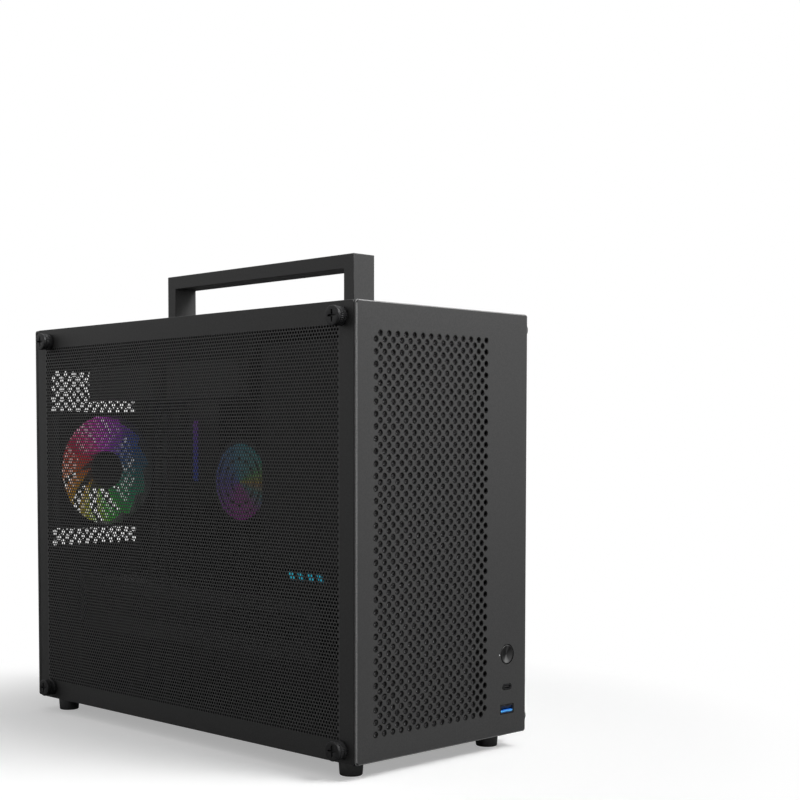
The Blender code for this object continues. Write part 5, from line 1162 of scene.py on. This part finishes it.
def rearSockets(levels, twoRowShare, opening, lap, canDepth, rim, tongue, tongueDepth, web, collar, collarAt,
                baseFront, lit):
    # each can is a plate as deep as the can, with two openings in each of its rows, and a tongue in every opening
    low, high = boxOf("rear_port_block")
    turn, x0, x1 = turnAbout("x", -pi / 2), low[0], high[0] - 1 * mm
    base = roundedBlock((high[0] - 3 * mm, low[1], low[2]), (high[0], baseFront, high[2]), 0.5 * mm)
    portsLow, half = boxOf("port_shield")[0][2] + lap, (x1 - x0 - 3 * mm) / 2 - 1 * mm
    cans, black = [], [base]
    for a, b in levels:
        z0, z1 = portsLow + a * opening, portsLow + b * opening
        # a loop from (x, z) inset by i, as it lies before the turn
        inset = lambda i, radius, steps=3: cornerLoop((x0 + i, -z1 + i), (x1 - i, -z0 - i), radius, steps)
        rows = 2 if b - a > twoRowShare else 1
        share, loops = (z1 - z0) / rows, [inset(0.2 * mm, 0.6 * mm)]
        for row in range(rows):
            c0, c1 = z0 + row * share + rim, z0 + (row + 1) * share - rim
            middle = (c0 + c1) / 2
            for h0 in (x0 + lap, x0 + lap + half + web):
                loops.append(cornerLoop((h0, -c1), (h0 + half, -c0), 0.4 * mm, 2))
                black.append(roundedBlock((h0 + 0.8 * mm, high[1] - tongueDepth, middle - tongue / 2),
                                          (h0 + half - 0.8 * mm, high[1] - lap, middle + tongue / 2), 0.3 * mm))
        tube = plateShape(loops, canDepth, [0.2 * mm] + [0.15 * mm] * (len(loops) - 1), 2)
        cans.append(moved(tube, turn, (0, high[1], 0)))
        outer = cornerLoop((x0 - collar, -z1 - collar), (x1 + 0.5 * mm, -z0 + collar), 1 * mm, 3)
        ring = plateShape([outer, inset(0.6 * mm, 0.4 * mm)], collar, [0.1 * mm, 0.05 * mm], 1)
        black.append(moved(ring, turn, (0, collarAt, 0)))
        black.append(roundedBlock((x0, low[1], z0), (x1, high[1] - canDepth + 0.2 * mm, z1), 0.5 * mm))
    makePiece("rearSocketCans", gather(cans), "canSteel", ["rear_port_block"])
    makePiece("rearSocketTongues", gather(black), "blackPlastic", ["rear_port_block"])
    x = boxOf("port_cover")[0][0]
    makePiece("coverLight", roundedBlock((x - 0.5 * mm, *lit[:2]), (x + 2 * mm, *lit[2:]), 0.4 * mm), "coverGlow")


rearSockets(**rearSocketValues)
print("rear sockets made")


# Nodes that keep their own shape get a finish here
keptFinishes = {
    "filterWeave": "front_filter", "innerCoat": "front_bracket base_tray motherboard_tray power_supply_shelf",
    "plainSteel": "handle_screw_front handle_screw_rear port_shield graphics_bracket",
    "dashGlow": "shelf_light_guide", "boardBlack": "front_io_board motherboard",
    "finMetal": "memory_module_1 memory_module_2", "screwBlack": "slot_cover_1 slot_cover_2",
    "blackPlastic": "power_switch front_io_holder power_inlet port_cover rear_fan_frame radiator_fan_frame_front "
                    "radiator_fan_frame_rear graphics_card",
}
for finish, names in keptFinishes.items():
    for name in names.split():
        for place in nodes[name].material_slots:
            place.material = finishes[finish]
print("kept nodes finished")


# Studio: the camera, three lamps, a pale floor and a white surround

studioValues = {
    "cameraAt": (-0.7150, -0.83403, 0.21311), "yaw": 43.903, "pitch": -2.915, "lens": 66.204,
    "shift": (0.0625, 0.14625), "ambient": 0.28, "floor": (0.80, 0.20), "floorReach": (0.20, 0.42), "floorLift": 0.36,
    "floorHalf": 6,
    "lamps": {  # place, aim, size, power, spread
        "keySoftbox": ((0.34, -0.95, 1.15), (0, front, 0.46), 0.8, 3.1, 54),
        "rearSoftbox": ((-1.5, 1.0, 0.9), (0, 0, 0.16), 1.2, 1.8, 180),
        "topSoftbox": ((0.0, 0.3, 2.2), (0, 0, 0.3), 1.6, 1.5, 180)},
}


def addLamp(name, at, aim, size, power, spread):
    lamp = bpy.data.lights.new(name, "AREA")
    lamp.spread = radians(spread)
    lamp.shape, lamp.size, lamp.size_y, lamp.energy = "RECTANGLE", size, size, power
    holder = bpy.data.objects.new(name, lamp)
    holder.location = at
    holder.rotation_euler = (Vector(aim) - Vector(at)).to_track_quat("-Z", "Y").to_euler()
    scene.collection.objects.link(holder)


def whiteWorld(ambient):
    # white for the camera, for glass and for reflections, dimmer as a light
    world = scene.world = bpy.data.worlds.new("studioWorld")
    world.use_nodes = True
    tree = world.node_tree
    tree.nodes.clear()
    rays = add(tree, "ShaderNodeLightPath", {}).outputs
    seen = combined(tree, "MAXIMUM", rays["Is Camera Ray"], rays["Is Transmission Ray"])
    seen = combined(tree, "MAXIMUM", seen, rays["Is Glossy Ray"])
    strength = ranged(tree, seen, "To", ambient, 1.0)
    sky = add(tree, "ShaderNodeBackground", {"Color": (1, 1, 1, 1), "Strength": strength})
    add(tree, "ShaderNodeOutputWorld", {0: sky.outputs[0]})


def paleFloor(shades, reach, lift, half):
    # matt near the case, where it keeps the shadow, and plain white further out
    mesh = bpy.data.meshes.new("floor")
    mesh.from_pydata([[-half, -half, 0], [half, -half, 0], [half, half, 0], [-half, half, 0]], [], [[0, 1, 2, 3]])
    floor = bpy.data.objects.new("floor", mesh)
    scene.collection.objects.link(floor)
    settings = {"Roughness": 0.9, "Specular IOR Level": 0.0, "Emission Color": (1, 1, 1, 1)}
    tree, shader = newFinish("paleFloor", settings)
    seen = add(tree, "ShaderNodeLightPath", {}).outputs["Is Camera Ray"]
    tree.links.new(ranged(tree, seen, "To", shades[1], shades[0]), shader.inputs["Base Color"])
    tree.links.new(combined(tree, "MULTIPLY", seen, lift), shader.inputs["Emission Strength"])
    away = add(tree, "ShaderNodeVectorMath", {0: objectPlace(tree)}, operation="LENGTH").outputs["Value"]
    share = combined(tree, "MULTIPLY", ranged(tree, away, "From", *reach, interpolation_type="SMOOTHSTEP"), seen)
    white = add(tree, "ShaderNodeEmission", {"Strength": 1.0})
    blend = add(tree, "ShaderNodeMixShader", {0: share, 1: shader.outputs[0], 2: white.outputs[0]})
    tree.links.new(blend.outputs[0], tree.nodes["Material Output"].inputs["Surface"])
    mesh.materials.append(finishes["paleFloor"])


def studio(values):
    camera = bpy.data.cameras.new("camera")
    camera.lens, camera.sensor_width = values["lens"], 36
    camera.shift_x, camera.shift_y = values["shift"]
    camera.clip_start, camera.clip_end = 0.01, 50
    holder = scene.camera = bpy.data.objects.new("camera", camera)
    holder.location = values["cameraAt"]
    holder.rotation_euler = (radians(90 + values["pitch"]), 0, radians(-values["yaw"]))
    scene.collection.objects.link(holder)
    whiteWorld(values["ambient"])
    paleFloor(values["floor"], values["floorReach"], values["floorLift"], values["floorHalf"])
    for name, lamp in values["lamps"].items():
        addLamp(name, *lamp)


studio(studioValues)
scene.view_settings.view_transform = "Standard"
print("studio ready")
